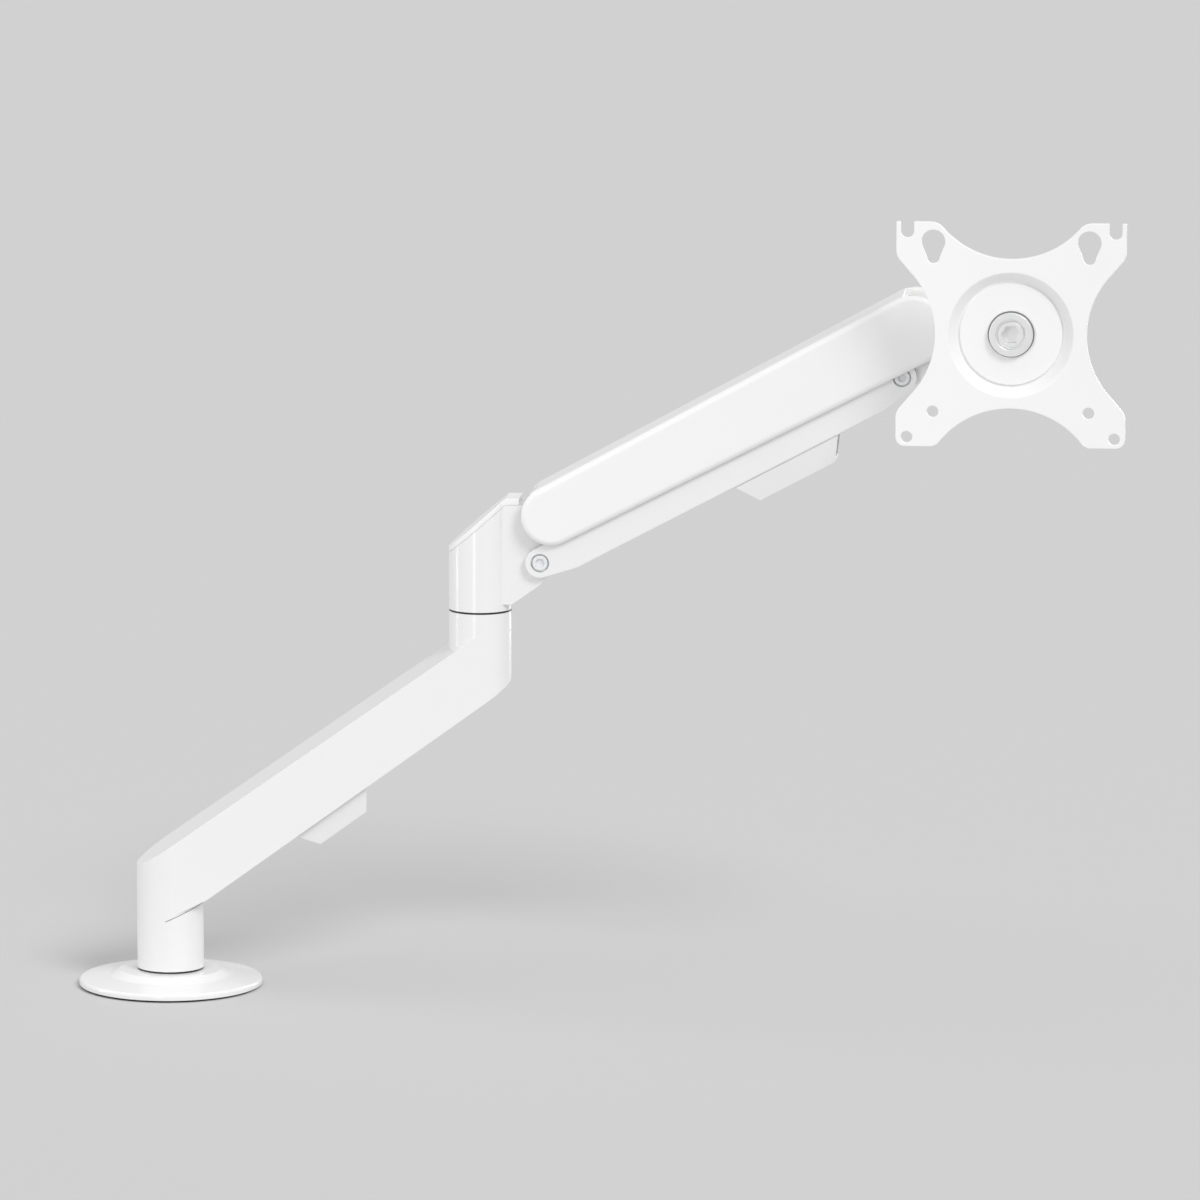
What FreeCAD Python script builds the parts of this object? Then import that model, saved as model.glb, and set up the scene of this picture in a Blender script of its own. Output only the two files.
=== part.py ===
import FreeCAD, Part
import math
import os

import Sketcher

# A white desk-mounted monitor arm: a round desk flange, a swivelling lower arm, an elbow knuckle,
# a gas-sprung upper arm built as a parallelogram, and a swivel and tilt head with a VESA plate.
#
# Millimetres, +Z up, origin on the desk at the post's axis. The upper arm lies along +X and the
# VESA plate faces -Y. The lower arm is swung out by `lower_yaw`.

# ---------------------------------------------------------------------------------------------
# Driving dimensions: (alias, value, what it is)
# ---------------------------------------------------------------------------------------------
SIZES = (
    # desk flange
    ("pad_thick", 1.0, "rubber pad under the flange"),
    ("pad_inset", 2.0, "pad edge inside the flange edge"),
    ("flange_dia", 90.0, "outside of the desk flange"),
    ("flange_rim", 4.0, "height of the flange's edge above the desk"),
    ("flange_rise", 1.9, "fall of the flange top from hub to edge"),
    ("hub_dia", 54.0, "raised hub on the flange"),
    ("hub_top", 8.5, "top of the hub above the desk"),
    ("hub_skirt", 3.0, "foot of the hub's slope outside the hub"),
    ("hub_step", 2.0, "top of the hub's slope inside the hub"),
    ("hub_blend", 6.0, "blend between hub and flange"),
    ("flange_round", 1.6, "rounding of the flange's edge"),
    ("foot_dia", 34.0, "foot of the post spindle, flush with the pad"),
    ("foot_thick", 5.0, "thickness of that foot"),
    ("foot_screw_circle", 26.0, "circle of the screws that hold the foot"),
    ("foot_screw_dia", 4.0, "screws that hold the foot"),
    ("foot_screw_cover", 1.0, "metal left above the foot screws"),
    ("small_hex", 2.5, "hexagon sockets of the foot and grub screws"),
    ("small_hex_deep", 1.6, "depth of those sockets"),
    ("grommet_thread_dia", 8.5, "tapped bore for the desk bolt, M10"),
    ("grommet_thread_deep", 20.0, "depth of that tapped bore"),
    # swivel joints, shared by the post and the elbow
    ("post_spindle_dia", 18.0, "spindle that the lower arm turns on"),
    ("post_spindle_top", 46.0, "top of that spindle above the desk"),
    ("elbow_spindle_dia", 16.0, "spindle that the knuckle turns on"),
    ("elbow_spindle_deep", 35.2, "elbow spindle's lower end below the elbow tube's top"),
    ("elbow_spindle_proud", 24.8, "elbow spindle's upper end above that top"),
    ("bush_wall", 2.0, "wall of every swivel bush"),
    ("bush_long", 8.0, "length of every swivel bush"),
    ("seam_thick", 0.9, "dark sliding washer in each swivel seam"),
    ("seam_inset", 0.25, "washer edge inside the tube's outside"),
    ("face_gap", 0.05, "gap between faces that slide on each other"),
    ("run_gap", 0.05, "radial gap of a running fit"),
    ("groove_deep", 1.0, "retaining groove in each spindle"),
    ("groove_wide", 6.0, "width of that groove"),
    ("spindle_chamfer", 1.0, "chamfer at each spindle's free end"),
    ("bore_beyond", 1.0, "bore past the spindle's free end"),
    ("grub_dia", 5.0, "grub screw that runs in the groove"),
    ("grub_long", 6.0, "length of the grub screws"),
    ("grub_tip_gap", 0.3, "tip of a grub screw clear of the groove's floor"),
    ("post_grub_height", 28.0, "grub screw of the post"),
    ("elbow_grub_deep", 17.2, "grub screw of the elbow below the elbow tube's top"),
    # lower arm
    ("lower_yaw", 9.5, "swing of the lower arm from the upper arm's line"),
    ("lower_length", 153.1, "post axis to elbow axis"),
    ("post_dia", 32.8, "outside of the post tube"),
    ("elbow_dia", 31.0, "outside of the elbow tube"),
    ("elbow_rise", 8.892, "top of the elbow tube above the arm's top line there"),
    ("lower_top_start", 72.2, "height of the arm's top line at the post axis"),
    ("lower_top_slope", 0.68, "rise of the top line per unit along"),
    ("lower_under_bend", 17.5, "where the underside bends, from the post axis"),
    ("lower_under_height", 45.3, "height of the underside at that bend"),
    ("lower_under_slope", 0.70, "rise of the underside beyond the bend"),
    ("lower_heel_slope", 0.47, "rise of the underside before the bend"),
    ("channel_wide", 20.0, "cable channel in the underside"),
    ("channel_deep", 19.0, "height of the channel above the underside"),
    ("channel_start", 30.0, "channel's lower end, from the post axis"),
    ("channel_stop", 130.0, "channel's upper end, from the post axis"),
    ("tube_sink", 3.0, "start of the elbow tube below the beam's top edge"),
    ("elbow_corner_round", 7.0, "rounding under the elbow"),
    # cable clips
    ("clip_wall", 2.0, "wall of both cable clips"),
    ("clip_tab_thick", 1.7, "snap tabs of the clips"),
    ("clip_gap", 0.3, "gap round a snap tab"),
    ("clip_rest_gap", 0.05, "gap between a clip and the beam above it"),
    ("clip_tab_tall", 4.0, "snap tabs above the clip's top"),
    ("clip_tab_share", 0.4, "length of a snap tab as a share of the clip's"),
    ("lower_clip_long", 43.3, "lower clip along the arm, at its top"),
    ("lower_clip_deep", 11.3, "lower clip below the arm"),
    ("lower_clip_wide", 24.0, "lower clip across the arm, at its top"),
    ("lower_clip_place", 78.5, "middle of the lower clip, from the post axis"),
    ("upper_clip_long", 57.0, "upper clip along the link, at its top"),
    ("upper_clip_deep", 11.8, "upper clip below the link"),
    ("upper_clip_wide", 25.0, "upper clip across the link, at its top"),
    ("upper_clip_place", 130.5, "middle of the upper clip, from the link's lower pivot"),
    ("clip_end_inset", 7.8, "how far a clip's ends slope in"),
    ("clip_side_inset", 2.5, "how far a clip's sides slope in"),
    # knuckle
    ("knuckle_low_rise", 31.8, "low end of the slanted cap above the elbow tube's top"),
    ("knuckle_slope", 0.87, "rise of the slanted cap per unit along"),
    ("knuckle_flat_rise", 56.8, "flat end of the cap above the elbow tube's top"),
    ("knuckle_nose", 20.0, "end of the cap, from the elbow axis"),
    ("cap_thick", 3.2, "height of the cap above the knuckle"),
    ("cheek_wide", 20.0, "width over both cheeks"),
    ("cheek_slot", 13.0, "slot between the cheeks"),
    ("cheek_low_rise", 4.4, "underside of the cheeks above the elbow tube's top"),
    ("cheek_heel", 16.3, "where the cheeks' underside starts to rise"),
    ("low_pivot_reach", 30.6, "lower pivot from the elbow axis"),
    ("low_pivot_rise", 25.8, "lower pivot above the elbow tube's top"),
    ("pivot_step_along", 4.7, "upper pivot ahead of the lower pivot"),
    ("pivot_step_up", 25.0, "upper pivot above the lower pivot"),
    ("high_boss_dia", 16.0, "cheek round the upper pivot"),
    ("low_boss_dia", 14.0, "cheek round the lower pivot"),
    # upper arm
    ("arm_rise", 28.0, "slope of the upper arm as drawn"),
    ("arm_length", 200.0, "pivot to pivot"),
    ("cover_low_dia", 29.4, "round lower end of the cover"),
    ("cover_high_dia", 34.4, "round upper end of the cover"),
    ("cover_drop", 1.5, "middle of the cover below the pivot line"),
    ("cover_wall", 1.7, "wall of the cover"),
    ("cover_round", 3.0, "rounding of the cover's top edges"),
    ("frame_wall", 2.2, "wall of the inner frame"),
    ("panel_start", -4.0, "lower end of the top panel, from the pivot"),
    ("panel_beyond", 3.0, "upper end of the top panel, past the far pivot"),
    ("notch_wide", 15.0, "key notch in the top panel"),
    ("notch_deep", 2.6, "depth of that notch"),
    ("hinge_pin_dia", 8.0, "stub pins at the upper pivots"),
    ("hinge_bush_dia", 11.0, "bushes round the stub pins"),
    ("hinge_flange_dia", 13.6, "flange of those bushes"),
    ("hinge_pin_short", 0.5, "inner end of a stub pin short of the cheek's inside"),
    ("side_gap", 0.3, "side gap between moving plates"),
    # lower link
    ("link_end_dia", 14.4, "round ends of the lower link"),
    ("link_below", 10.7, "link's underside below its pivot line"),
    ("link_above", 9.0, "top of the link's walls above its pivot line"),
    ("link_wall", 3.3, "side walls of the link"),
    ("link_floor", 2.0, "floor of the link"),
    ("link_bend", 18.0, "where the underside reaches full depth, from a pivot"),
    ("link_floor_start", 14.4, "ends of the link's floor, from a pivot"),
    ("link_wall_full", 28.8, "where the walls leave their full height, from a pivot"),
    ("link_wall_low", 36.0, "where the walls reach their lower height, from a pivot"),
    ("link_round", 1.0, "rounding of the underside's long edges"),
    ("link_screw_dia", 6.0, "shoulder of the link's pivot screws"),
    ("link_head_dia", 7.4, "head of those screws"),
    ("link_head_thick", 1.8, "height of those heads"),
    ("link_head_floor", 0.4, "metal under the socket of those heads"),
    ("link_hex", 4.0, "hexagon socket of those heads"),
    ("link_bore_dia", 9.2, "counterbore round those heads"),
    ("link_bore_deep", 2.0, "depth of that counterbore"),
    ("open_pivot_gap", 0.15, "radial gap at the parallelogram's open pivot"),
    # gas spring and its adjuster
    ("spring_drop", 12.0, "spring's knuckle end below the upper pivot"),
    ("spring_reach", 150.0, "spring's far end along the arm"),
    ("spring_lift", 1.0, "spring's far end above the pivot line"),
    ("gas_dia", 19.0, "gas cylinder"),
    ("gas_wall", 1.2, "wall of the gas cylinder"),
    ("gas_start", 46.0, "mouth of the cylinder, from the adjuster nut"),
    ("gas_plug", 15.0, "end plug and eye, back from the far pin"),
    ("gas_floor", 3.0, "closed end of the cylinder"),
    ("gas_guide_long", 6.0, "rod guide in the cylinder's mouth"),
    ("gas_neck_dia", 11.0, "neck between cylinder and eye"),
    ("rod_dia", 8.0, "piston rod"),
    ("rod_start", 14.0, "rod's outer end, from the adjuster nut"),
    ("piston_place", 66.0, "middle of the piston, from the adjuster nut"),
    ("piston_long", 8.0, "length of the piston"),
    ("piston_gap", 0.1, "radial gap round the piston"),
    ("anchor_dia", 8.0, "pin at the spring's far end"),
    ("spacer_wall", 1.5, "wall of the spacers on that pin"),
    ("eye_dia", 14.0, "eye at the spring's far end"),
    ("eye_wide", 12.0, "width of that eye"),
    ("nut_dia", 10.0, "cross nut on the adjuster screw"),
    ("nut_end_gap", 0.2, "ends of the cross nut clear of the cheeks"),
    ("fork_cup_gap", 2.3, "gap between the cross nut and the fork's cup"),
    ("fork_tall", 14.0, "height of the fork"),
    ("fork_start", 4.5, "fork tips, from the cross nut's axis"),
    ("fork_slot", 7.0, "slot between the fork's ears"),
    ("fork_back", 5.0, "fork behind the rod's outer end"),
    ("fork_taper", 2.0, "fall of the fork's height to its back"),
    ("fork_side_gap", 0.3, "fork clear of each cheek"),
    ("adjuster_lean", 22.0, "lean of the adjuster screw from upright"),
    ("adjuster_dia", 6.0, "adjuster screw"),
    ("adjuster_head_dia", 9.0, "head of the adjuster screw"),
    ("adjuster_head_tall", 4.0, "height of that head"),
    ("adjuster_hex", 4.0, "hexagon socket of that head"),
    ("adjuster_hex_deep", 2.5, "depth of that socket"),
    ("adjuster_hole_gap", 0.1, "radial gap of the screw in the bridge"),
    ("adjuster_tail", 8.0, "adjuster screw below the cross nut"),
    ("bridge_low", 10.0, "bridge between the cheeks, above the cross nut"),
    ("bridge_thick", 3.5, "thickness of that bridge"),
    ("slot_behind_low", 8.0, "room under the bridge, behind the screw"),
    ("slot_behind_high", 6.0, "room above the bridge, behind the screw"),
    # head
    ("head_ahead", 49.9105, "swivel axis ahead of the arm's upper far pivot"),
    ("head_rise", 2.1057, "plate centre above that pivot"),
    ("barrel_dia", 30.0, "swivel barrel"),
    ("barrel_tall", 28.0, "height of the barrel"),
    ("barrel_round", 0.8, "rounding of the barrel's rims"),
    ("neck_inset", 1.0, "neck's underside above the barrel's"),
    ("neck_top", 5.0, "neck's top above the far pivot"),
    ("neck_flat", 6.0, "level top behind the far pivot"),
    ("fork_end_room", 1.5, "slot of the head past the far pivot's bush"),
    ("swivel_bolt_dia", 12.0, "swivel bolt"),
    ("swivel_head_dia", 20.0, "head of the swivel bolt"),
    ("swivel_head_thick", 4.0, "height of that head"),
    ("swivel_hex", 6.0, "hexagon socket of that head"),
    ("swivel_hex_deep", 3.0, "depth of that socket"),
    ("swivel_nut_flats", 18.0, "swivel nut across flats"),
    ("swivel_nut_thick", 5.0, "height of the swivel nut"),
    ("swivel_bush_wall", 3.0, "wall of the swivel bushes"),
    ("yoke_tab_thick", 4.0, "yoke tabs above and below the barrel"),
    ("yoke_wide", 24.0, "width of the yoke"),
    ("yoke_clear", 1.5, "yoke's upright clear of the barrel"),
    ("yoke_wall", 4.0, "yoke's upright"),
    ("swivel_washer_thick", 0.8, "washers between barrel and yoke"),
    ("swivel_washer_inset", 0.5, "edge of those washers inside the barrel's"),
    ("tilt_ahead", 30.0, "tilt axis ahead of the swivel axis"),
    ("tilt_bolt_dia", 8.0, "tilt bolt"),
    ("tilt_head_dia", 13.0, "head of the tilt bolt"),
    ("tilt_head_thick", 3.5, "height of that head"),
    ("tilt_hex", 5.0, "hexagon socket of that head"),
    ("tilt_hex_deep", 2.5, "depth of that socket"),
    ("tilt_nut_thick", 4.5, "height of the tilt nut"),
    ("ear_thick", 3.6, "yoke ears that hold the tilt bolt"),
    ("ear_dia", 18.0, "round ends of those ears"),
    ("tilt_washer_thick", 0.6, "friction washers beside the tilt block"),
    ("tilt_washer_dia", 16.0, "outside of those washers"),
    ("tilt_hub_dia", 16.0, "tilt block round its bolt"),
    ("tilt_face", 14.0, "front of the tilt block, ahead of the tilt axis"),
    ("plate_washer_thick", 0.8, "washer between that flange and the plate"),
    ("tilt_flange_thick", 3.0, "flange of the tilt block"),
    ("tilt_flange_dia", 34.0, "outside of that flange"),
    # plate
    ("plate_thick", 2.5, "sheet of the plate"),
    ("plate_half_wide", 55.3, "plate centre to its sides"),
    ("plate_half_tall", 54.6, "plate centre to its top and bottom"),
    ("bite_radius", 43.5, "hollow of each side"),
    ("bite_centre", 80.4, "centre of each hollow from the plate's centre"),
    ("shoulder_height", 38.0, "where each upright side ends, from the centre"),
    ("shoulder_reach", 48.8, "where each hollow meets its shoulder, across"),
    ("shoulder_step", 30.3, "where each hollow meets its shoulder, up"),
    ("bite_flare", 2.5, "flare at the ends of the lower hollow, across"),
    ("bite_flare_up", 1.2, "height of that flare"),
    ("corner_round", 4.5, "rounding of the plate's lower corners"),
    ("shoulder_round", 7.0, "rounding of each shoulder"),
    ("hollow_round", 8.0, "rounding at the ends of the upper hollow"),
    ("dish_dia", 60.6, "rim of the dish"),
    ("dish_floor_dia", 51.0, "floor of the dish"),
    ("dish_deep", 5.5, "depth of the dish"),
    ("inner_pattern", 75.0, "VESA 75 hole spacing"),
    ("outer_pattern", 100.0, "VESA 100 hole spacing"),
    ("plate_hole_dia", 5.5, "round holes of the plate"),
    ("keyhole_dia", 11.3, "wide end of the keyholes"),
    ("keyhole_rise", 7.5, "wide end above the narrow end"),
    ("keyhole_neck", 6.0, "narrow end of the keyholes"),
    ("keyhole_meet", 20.0, "neck meets the wide end this far below its middle, in degrees"),
    ("hook_wide", 6.3, "open slots at the top corners"),
    ("disc_dia", 49.4, "friction disc in the dish"),
    ("disc_thick", 1.3, "thickness of that disc"),
    ("centre_head_dia", 21.2, "head of the centre bolt"),
    ("centre_head_thick", 3.0, "thickness of that head"),
    ("centre_recess_dia", 14.8, "recess in that head"),
    ("centre_recess_deep", 1.8, "depth of that recess"),
    ("centre_hex", 8.0, "hexagon socket across flats"),
    ("centre_hex_deep", 5.0, "depth of that socket from the head's front"),
    ("centre_ring_dia", 12.6, "ring round that socket"),
    ("centre_ring_drop", 0.5, "ring below the head's front"),
    ("centre_shank_dia", 9.8, "shank of the centre bolt"),
    ("centre_shank_stop", 5.5, "end of the shank, ahead of the tilt axis"),
)

document = FreeCAD.newDocument("MonitorArm")
sheet = document.addObject("Spreadsheet::Sheet", "Sizes")
for row, (alias, amount, meaning) in enumerate(SIZES, start=1):
    sheet.set(f"A{row}", meaning)
    sheet.set(f"B{row}", str(amount))
    sheet.setAlias(f"B{row}", alias)
document.recompute()


class Size:
    """A length or a ratio: its number now, and the sheet expression that gives it."""

    def __init__(self, number, text=None):
        self.number = float(number)
        self.text = text or f"({self.number!r})"

    def __add__(self, other):
        other = as_size(other)
        return Size(self.number + other.number, f"({self.text} + {other.text})")

    def __sub__(self, other):
        other = as_size(other)
        return Size(self.number - other.number, f"({self.text} - {other.text})")

    def __mul__(self, other):
        other = as_size(other)
        return Size(self.number * other.number, f"({self.text} * {other.text})")

    def __truediv__(self, other):
        other = as_size(other)
        return Size(self.number / other.number, f"({self.text} / {other.text})")

    def __neg__(self):
        return self * -1

    def __radd__(self, other):
        return as_size(other) + self

    def __rsub__(self, other):
        return as_size(other) - self

    def __rmul__(self, other):
        return as_size(other) * self


def as_size(amount):
    return amount if isinstance(amount, Size) else Size(amount)


def size(alias):
    """The sheet's value under this alias."""
    return Size(getattr(sheet, alias), f"{sheet.Name}.{alias}")


def root(square):
    return Size(math.sqrt(square.number), f"sqrt({square.text})")


def cosine(angle):
    return Size(math.cos(math.radians(angle.number)), f"cos({angle.text} * 1 deg)")


def sine(angle):
    return Size(math.sin(math.radians(angle.number)), f"sin({angle.text} * 1 deg)")


def slope_angle(rise, along):
    """The angle, in degrees, of a line that rises this much over this length."""
    angle = math.degrees(math.atan2(rise.number, along.number))
    return Size(angle, f"(atan({rise.text} / {along.text}) / 1 deg)")


def bind(thing, name, amount):
    """Set one property of an object from a Size and keep it tied to the sheet."""
    thing.setExpression(name, as_size(amount).text)


class Frame:
    """A place on the arm: an origin, swung by yaw about +Z after being raised about -Y."""

    def __init__(self, origin, yaw=0, rise=0):
        self.origin = [as_size(part) for part in origin]
        self.yaw = as_size(yaw)
        self.rise = as_size(rise)

    def point(self, along, across, up):
        """The row frame's coordinates of a point of this frame."""
        along, across, up = as_size(along), as_size(across), as_size(up)
        forward = along
        height = up
        if self.rise.number:
            forward = along * cosine(self.rise) - up * sine(self.rise)
            height = along * sine(self.rise) + up * cosine(self.rise)
        x, y, z = self.origin
        if not self.yaw.number:
            return [x + forward, y + across, z + height]
        east = forward * cosine(self.yaw) - across * sine(self.yaw)
        north = forward * sine(self.yaw) + across * cosine(self.yaw)
        return [x + east, y + north, z + height]

    def rotation(self):
        swing = FreeCAD.Rotation(FreeCAD.Vector(0, 0, 1), self.yaw.number)
        return swing * FreeCAD.Rotation(FreeCAD.Vector(0, -1, 0), self.rise.number)

    def place(self, thing, along=0, across=0, up=0, turn=None):
        """Put an object at a point of this frame, turned first by its own rotation."""
        where = self.point(along, across, up)
        rotation = self.rotation() * (turn or FreeCAD.Rotation())
        thing.Placement = FreeCAD.Placement(vector(*where), rotation)
        for axis, coordinate in zip("xyz", where):
            bind(thing, f".Placement.Base.{axis}", coordinate)
        if turn is None and self.rise.number and not self.yaw.number:
            bind(thing, ".Placement.Rotation.Angle", self.rise)
        if turn is None and self.yaw.number and not self.rise.number:
            bind(thing, ".Placement.Rotation.Angle", self.yaw)
        return thing


def vector(x, y, z=0):
    return FreeCAD.Vector(as_size(x).number, as_size(y).number, as_size(z).number)


# ---------------------------------------------------------------------------------------------
# Building tools
# ---------------------------------------------------------------------------------------------
nodes = []

BEYOND = 60.0  # how far a cutting outline runs past the part
PROUD = 1.0  # how far a cutting outline starts above the face it cuts


def keep(thing, label):
    """Give a finished object its label and list it as a node of the arm."""
    thing.Label = label
    nodes.append(thing)
    return thing


def new_body(label, frame):
    body = document.addObject("PartDesign::Body", "Body")
    keep(body, label)
    frame.place(body)
    return body


def sketch_on(body, role, offset=0):
    """An empty sketch on one of the body's own planes, moved along that plane's normal."""
    sketch = body.newObject("Sketcher::SketchObject", "Sketch")
    plane = next(item for item in body.Origin.OriginFeatures if item.Role == role)
    sketch.AttachmentSupport = (plane, [""])
    sketch.MapMode = "FlatFace"
    if as_size(offset).number:
        bind(sketch, ".AttachmentOffset.Base.z", offset)
    return sketch


def pin_point(sketch, geometry, end, x, y):
    """Fix one end of a sketch element at coordinates tied to the sheet."""
    for kind, coordinate in (("DistanceX", as_size(x)), ("DistanceY", as_size(y))):
        rule = Sketcher.Constraint(kind, -1, 1, geometry, end, coordinate.number)
        index = sketch.addConstraint(rule)
        bind(sketch, f"Constraints[{index}]", coordinate)


def pin_radius(sketch, geometry, radius):
    index = sketch.addConstraint(Sketcher.Constraint("Radius", geometry, radius.number))
    bind(sketch, f"Constraints[{index}]", radius)


def add_circle(sketch, x, y, diameter):
    radius = as_size(diameter) / 2
    circle = Part.Circle(vector(x, y), FreeCAD.Vector(0, 0, 1), radius.number)
    geometry = sketch.addGeometry(circle, False)
    pin_point(sketch, geometry, 3, x, y)
    pin_radius(sketch, geometry, radius)


def arc_between(start, end, radius, turns_left):
    """The short arc from start to end, and whether its own ends run backwards."""
    chord = end - start
    half = chord.Length / 2
    side = FreeCAD.Vector(-chord.y, chord.x, 0).normalize() * (1 if turns_left else -1)
    centre = start + chord * 0.5 + side * math.sqrt(max(radius * radius - half * half, 0.0))
    first, last = (start, end) if turns_left else (end, start)
    angles = [math.atan2(point.y - centre.y, point.x - centre.x) for point in (first, last)]
    circle = Part.Circle(centre, FreeCAD.Vector(0, 0, 1), radius)
    return Part.ArcOfCircle(circle, angles[0], angles[1]), not turns_left


def add_outline(sketch, corners):
    """A closed outline. A corner is (x, y), or (x, y, radius) where an arc leaves it.

    A positive radius bends the arc to the left of the way round, a negative one to the right.
    """
    ends = []
    for index, corner in enumerate(corners):
        following = corners[(index + 1) % len(corners)]
        start = vector(corner[0], corner[1])
        end = vector(following[0], following[1])
        if len(corner) == 2:
            geometry = sketch.addGeometry(Part.LineSegment(start, end), False)
            ends.append((geometry, 1, 2))
            continue
        bend = as_size(corner[2])
        left = bend.number > 0
        arc, backwards = arc_between(start, end, abs(bend.number), left)
        geometry = sketch.addGeometry(arc, False)
        pin_radius(sketch, geometry, bend if left else -bend)
        ends.append((geometry, 2, 1) if backwards else (geometry, 1, 2))
    for index, (geometry, start_end, _) in enumerate(ends):
        before, _, before_end = ends[index - 1]
        rule = Sketcher.Constraint("Coincident", before, before_end, geometry, start_end)
        sketch.addConstraint(rule)
        pin_point(sketch, geometry, start_end, corners[index][0], corners[index][1])


def extrude(body, kind, sketch, length, both_ways, backwards):
    before = body.Shape.Volume if not body.Shape.isNull() else 0.0
    feature = body.newObject(f"PartDesign::{kind}", kind)
    feature.Profile = sketch
    feature.SideType = "Symmetric" if both_ways else "One side"
    feature.Reversed = backwards
    if length is None:
        feature.Type = "ThroughAll"
    else:
        bind(feature, "Length", length)
    document.recompute()
    change = feature.Shape.Volume - before
    if (change if kind == "Pad" else -change) <= 0:
        raise ValueError(f"{body.Label}: a {kind} changed nothing")
    return feature


def pad(body, sketch, length, both_ways=False, backwards=False):
    return extrude(body, "Pad", sketch, length, both_ways, backwards)


def pocket(body, sketch, length=None, both_ways=False, backwards=False):
    return extrude(body, "Pocket", sketch, length, both_ways, backwards)


def revolve(body, sketch, kind="Revolution", axis="V_Axis"):
    """Turn a sketch about one of its own axes, adding a Revolution or cutting a Groove."""
    before = body.Shape.Volume if not body.Shape.isNull() else 0.0
    feature = body.newObject(f"PartDesign::{kind}", kind)
    feature.Profile = sketch
    feature.ReferenceAxis = (sketch, [axis])
    feature.Angle = 360
    document.recompute()
    change = feature.Shape.Volume - before
    if (change if kind == "Revolution" else -change) <= 0:
        raise ValueError(f"{body.Label}: a {kind} changed nothing")
    return feature


def round_edges(body, chosen, radius):
    """Fillet the edges of the body's last feature for which chosen(edge) is true."""
    base = body.Tip
    names = [
        f"Edge{number}"
        for number, edge in enumerate(base.Shape.Edges, start=1)
        if chosen(edge)
    ]
    if not names:
        raise ValueError(f"{body.Label}: no edge to round")
    feature = body.newObject("PartDesign::Fillet", "Fillet")
    feature.Base = (base, names)
    bind(feature, "Radius", radius)
    document.recompute()
    if not feature.isValid() or feature.Shape.isNull():
        raise ValueError(f"{body.Label}: {len(names)} edges could not be rounded")
    return feature


def slot_outline(first, first_radius, second, second_radius, middle=0):
    """Two round ends joined by their tangents, the ends on one level line."""
    first, second, middle = as_size(first), as_size(second), as_size(middle)
    lean = (second_radius - first_radius) / (second - first)
    upright = root(1 - lean * lean)
    return [
        (first - first_radius * lean, middle - first_radius * upright),
        (second - second_radius * lean, middle - second_radius * upright, second_radius),
        (second + second_radius, middle, second_radius),
        (second - second_radius * lean, middle + second_radius * upright),
        (first - first_radius * lean, middle + first_radius * upright, first_radius),
        (first - first_radius, middle, first_radius),
    ]


TURNS = {
    "x": FreeCAD.Rotation(FreeCAD.Vector(0, 1, 0), 90),
    "y": FreeCAD.Rotation(FreeCAD.Vector(1, 0, 0), -90),
    "z": FreeCAD.Rotation(),
}


def rod(frame, axis, diameter, length, along=0, across=0, up=0):
    """A plain round bar that starts at a point of the frame and runs along +axis."""
    bar = document.addObject("Part::Cylinder", "Bar")
    bind(bar, "Radius", as_size(diameter) / 2)
    bind(bar, "Height", length)
    frame.place(bar, along, across, up, turn=TURNS[axis])
    return bar


def hexagon(frame, axis, across_flats, length, along=0, across=0, up=0):
    """A hexagonal bar that starts at a point of the frame and runs along +axis."""
    bar = document.addObject("Part::Prism", "Hexagon")
    bar.Polygon = 6
    bind(bar, "Circumradius", as_size(across_flats) / math.sqrt(3))
    bind(bar, "Height", length)
    frame.place(bar, along, across, up, turn=TURNS[axis])
    return bar


def cut(base, *tools):
    for tool in tools:
        result = document.addObject("Part::Cut", "Cut")
        result.Base = base
        result.Tool = tool
        base = result
    return base


def fuse(*shapes):
    result = document.addObject("Part::MultiFuse", "Fuse")
    result.Shapes = list(shapes)
    result.Refine = True
    return result


def group(*shapes):
    result = document.addObject("Part::Compound", "Group")
    result.Links = list(shapes)
    return result


def ring(frame, axis, outer, inner, length, along=0, across=0, up=0):
    return cut(
        rod(frame, axis, outer, length, along, across, up),
        rod(frame, axis, inner, length, along, across, up),
    )


# ---------------------------------------------------------------------------------------------
# Places that several sub-parts share
# ---------------------------------------------------------------------------------------------
desk = Frame((0, 0, 0))
swung = Frame((0, 0, 0), yaw=size("lower_yaw"))
lower_length = size("lower_length")
arm_length = size("arm_length")


def lower_top(along):
    return size("lower_top_start") + size("lower_top_slope") * along


elbow = Frame(swung.point(lower_length, 0, 0))
elbow_top = lower_top(lower_length) + size("elbow_rise")
elbow_spindle_low = elbow_top - size("elbow_spindle_deep")
elbow_spindle_top = elbow_top + size("elbow_spindle_proud")
elbow_grub_height = elbow_top - size("elbow_grub_deep")
knuckle_low = elbow_top + size("knuckle_low_rise")
knuckle_flat = elbow_top + size("knuckle_flat_rise")
cheek_low = elbow_top + size("cheek_low_rise")
low_pivot = (size("low_pivot_reach"), elbow_top + size("low_pivot_rise"))
high_pivot = (low_pivot[0] + size("pivot_step_along"), low_pivot[1] + size("pivot_step_up"))
rise = size("arm_rise")
arm = Frame(elbow.point(high_pivot[0], 0, high_pivot[1]), rise=rise)
link = Frame(elbow.point(low_pivot[0], 0, low_pivot[1]), rise=rise)
head = Frame(
    elbow.point(
        high_pivot[0] + arm_length * cosine(rise) + size("head_ahead"),
        0,
        high_pivot[1] + arm_length * sine(rise) + size("head_rise"),
    )
)

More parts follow.
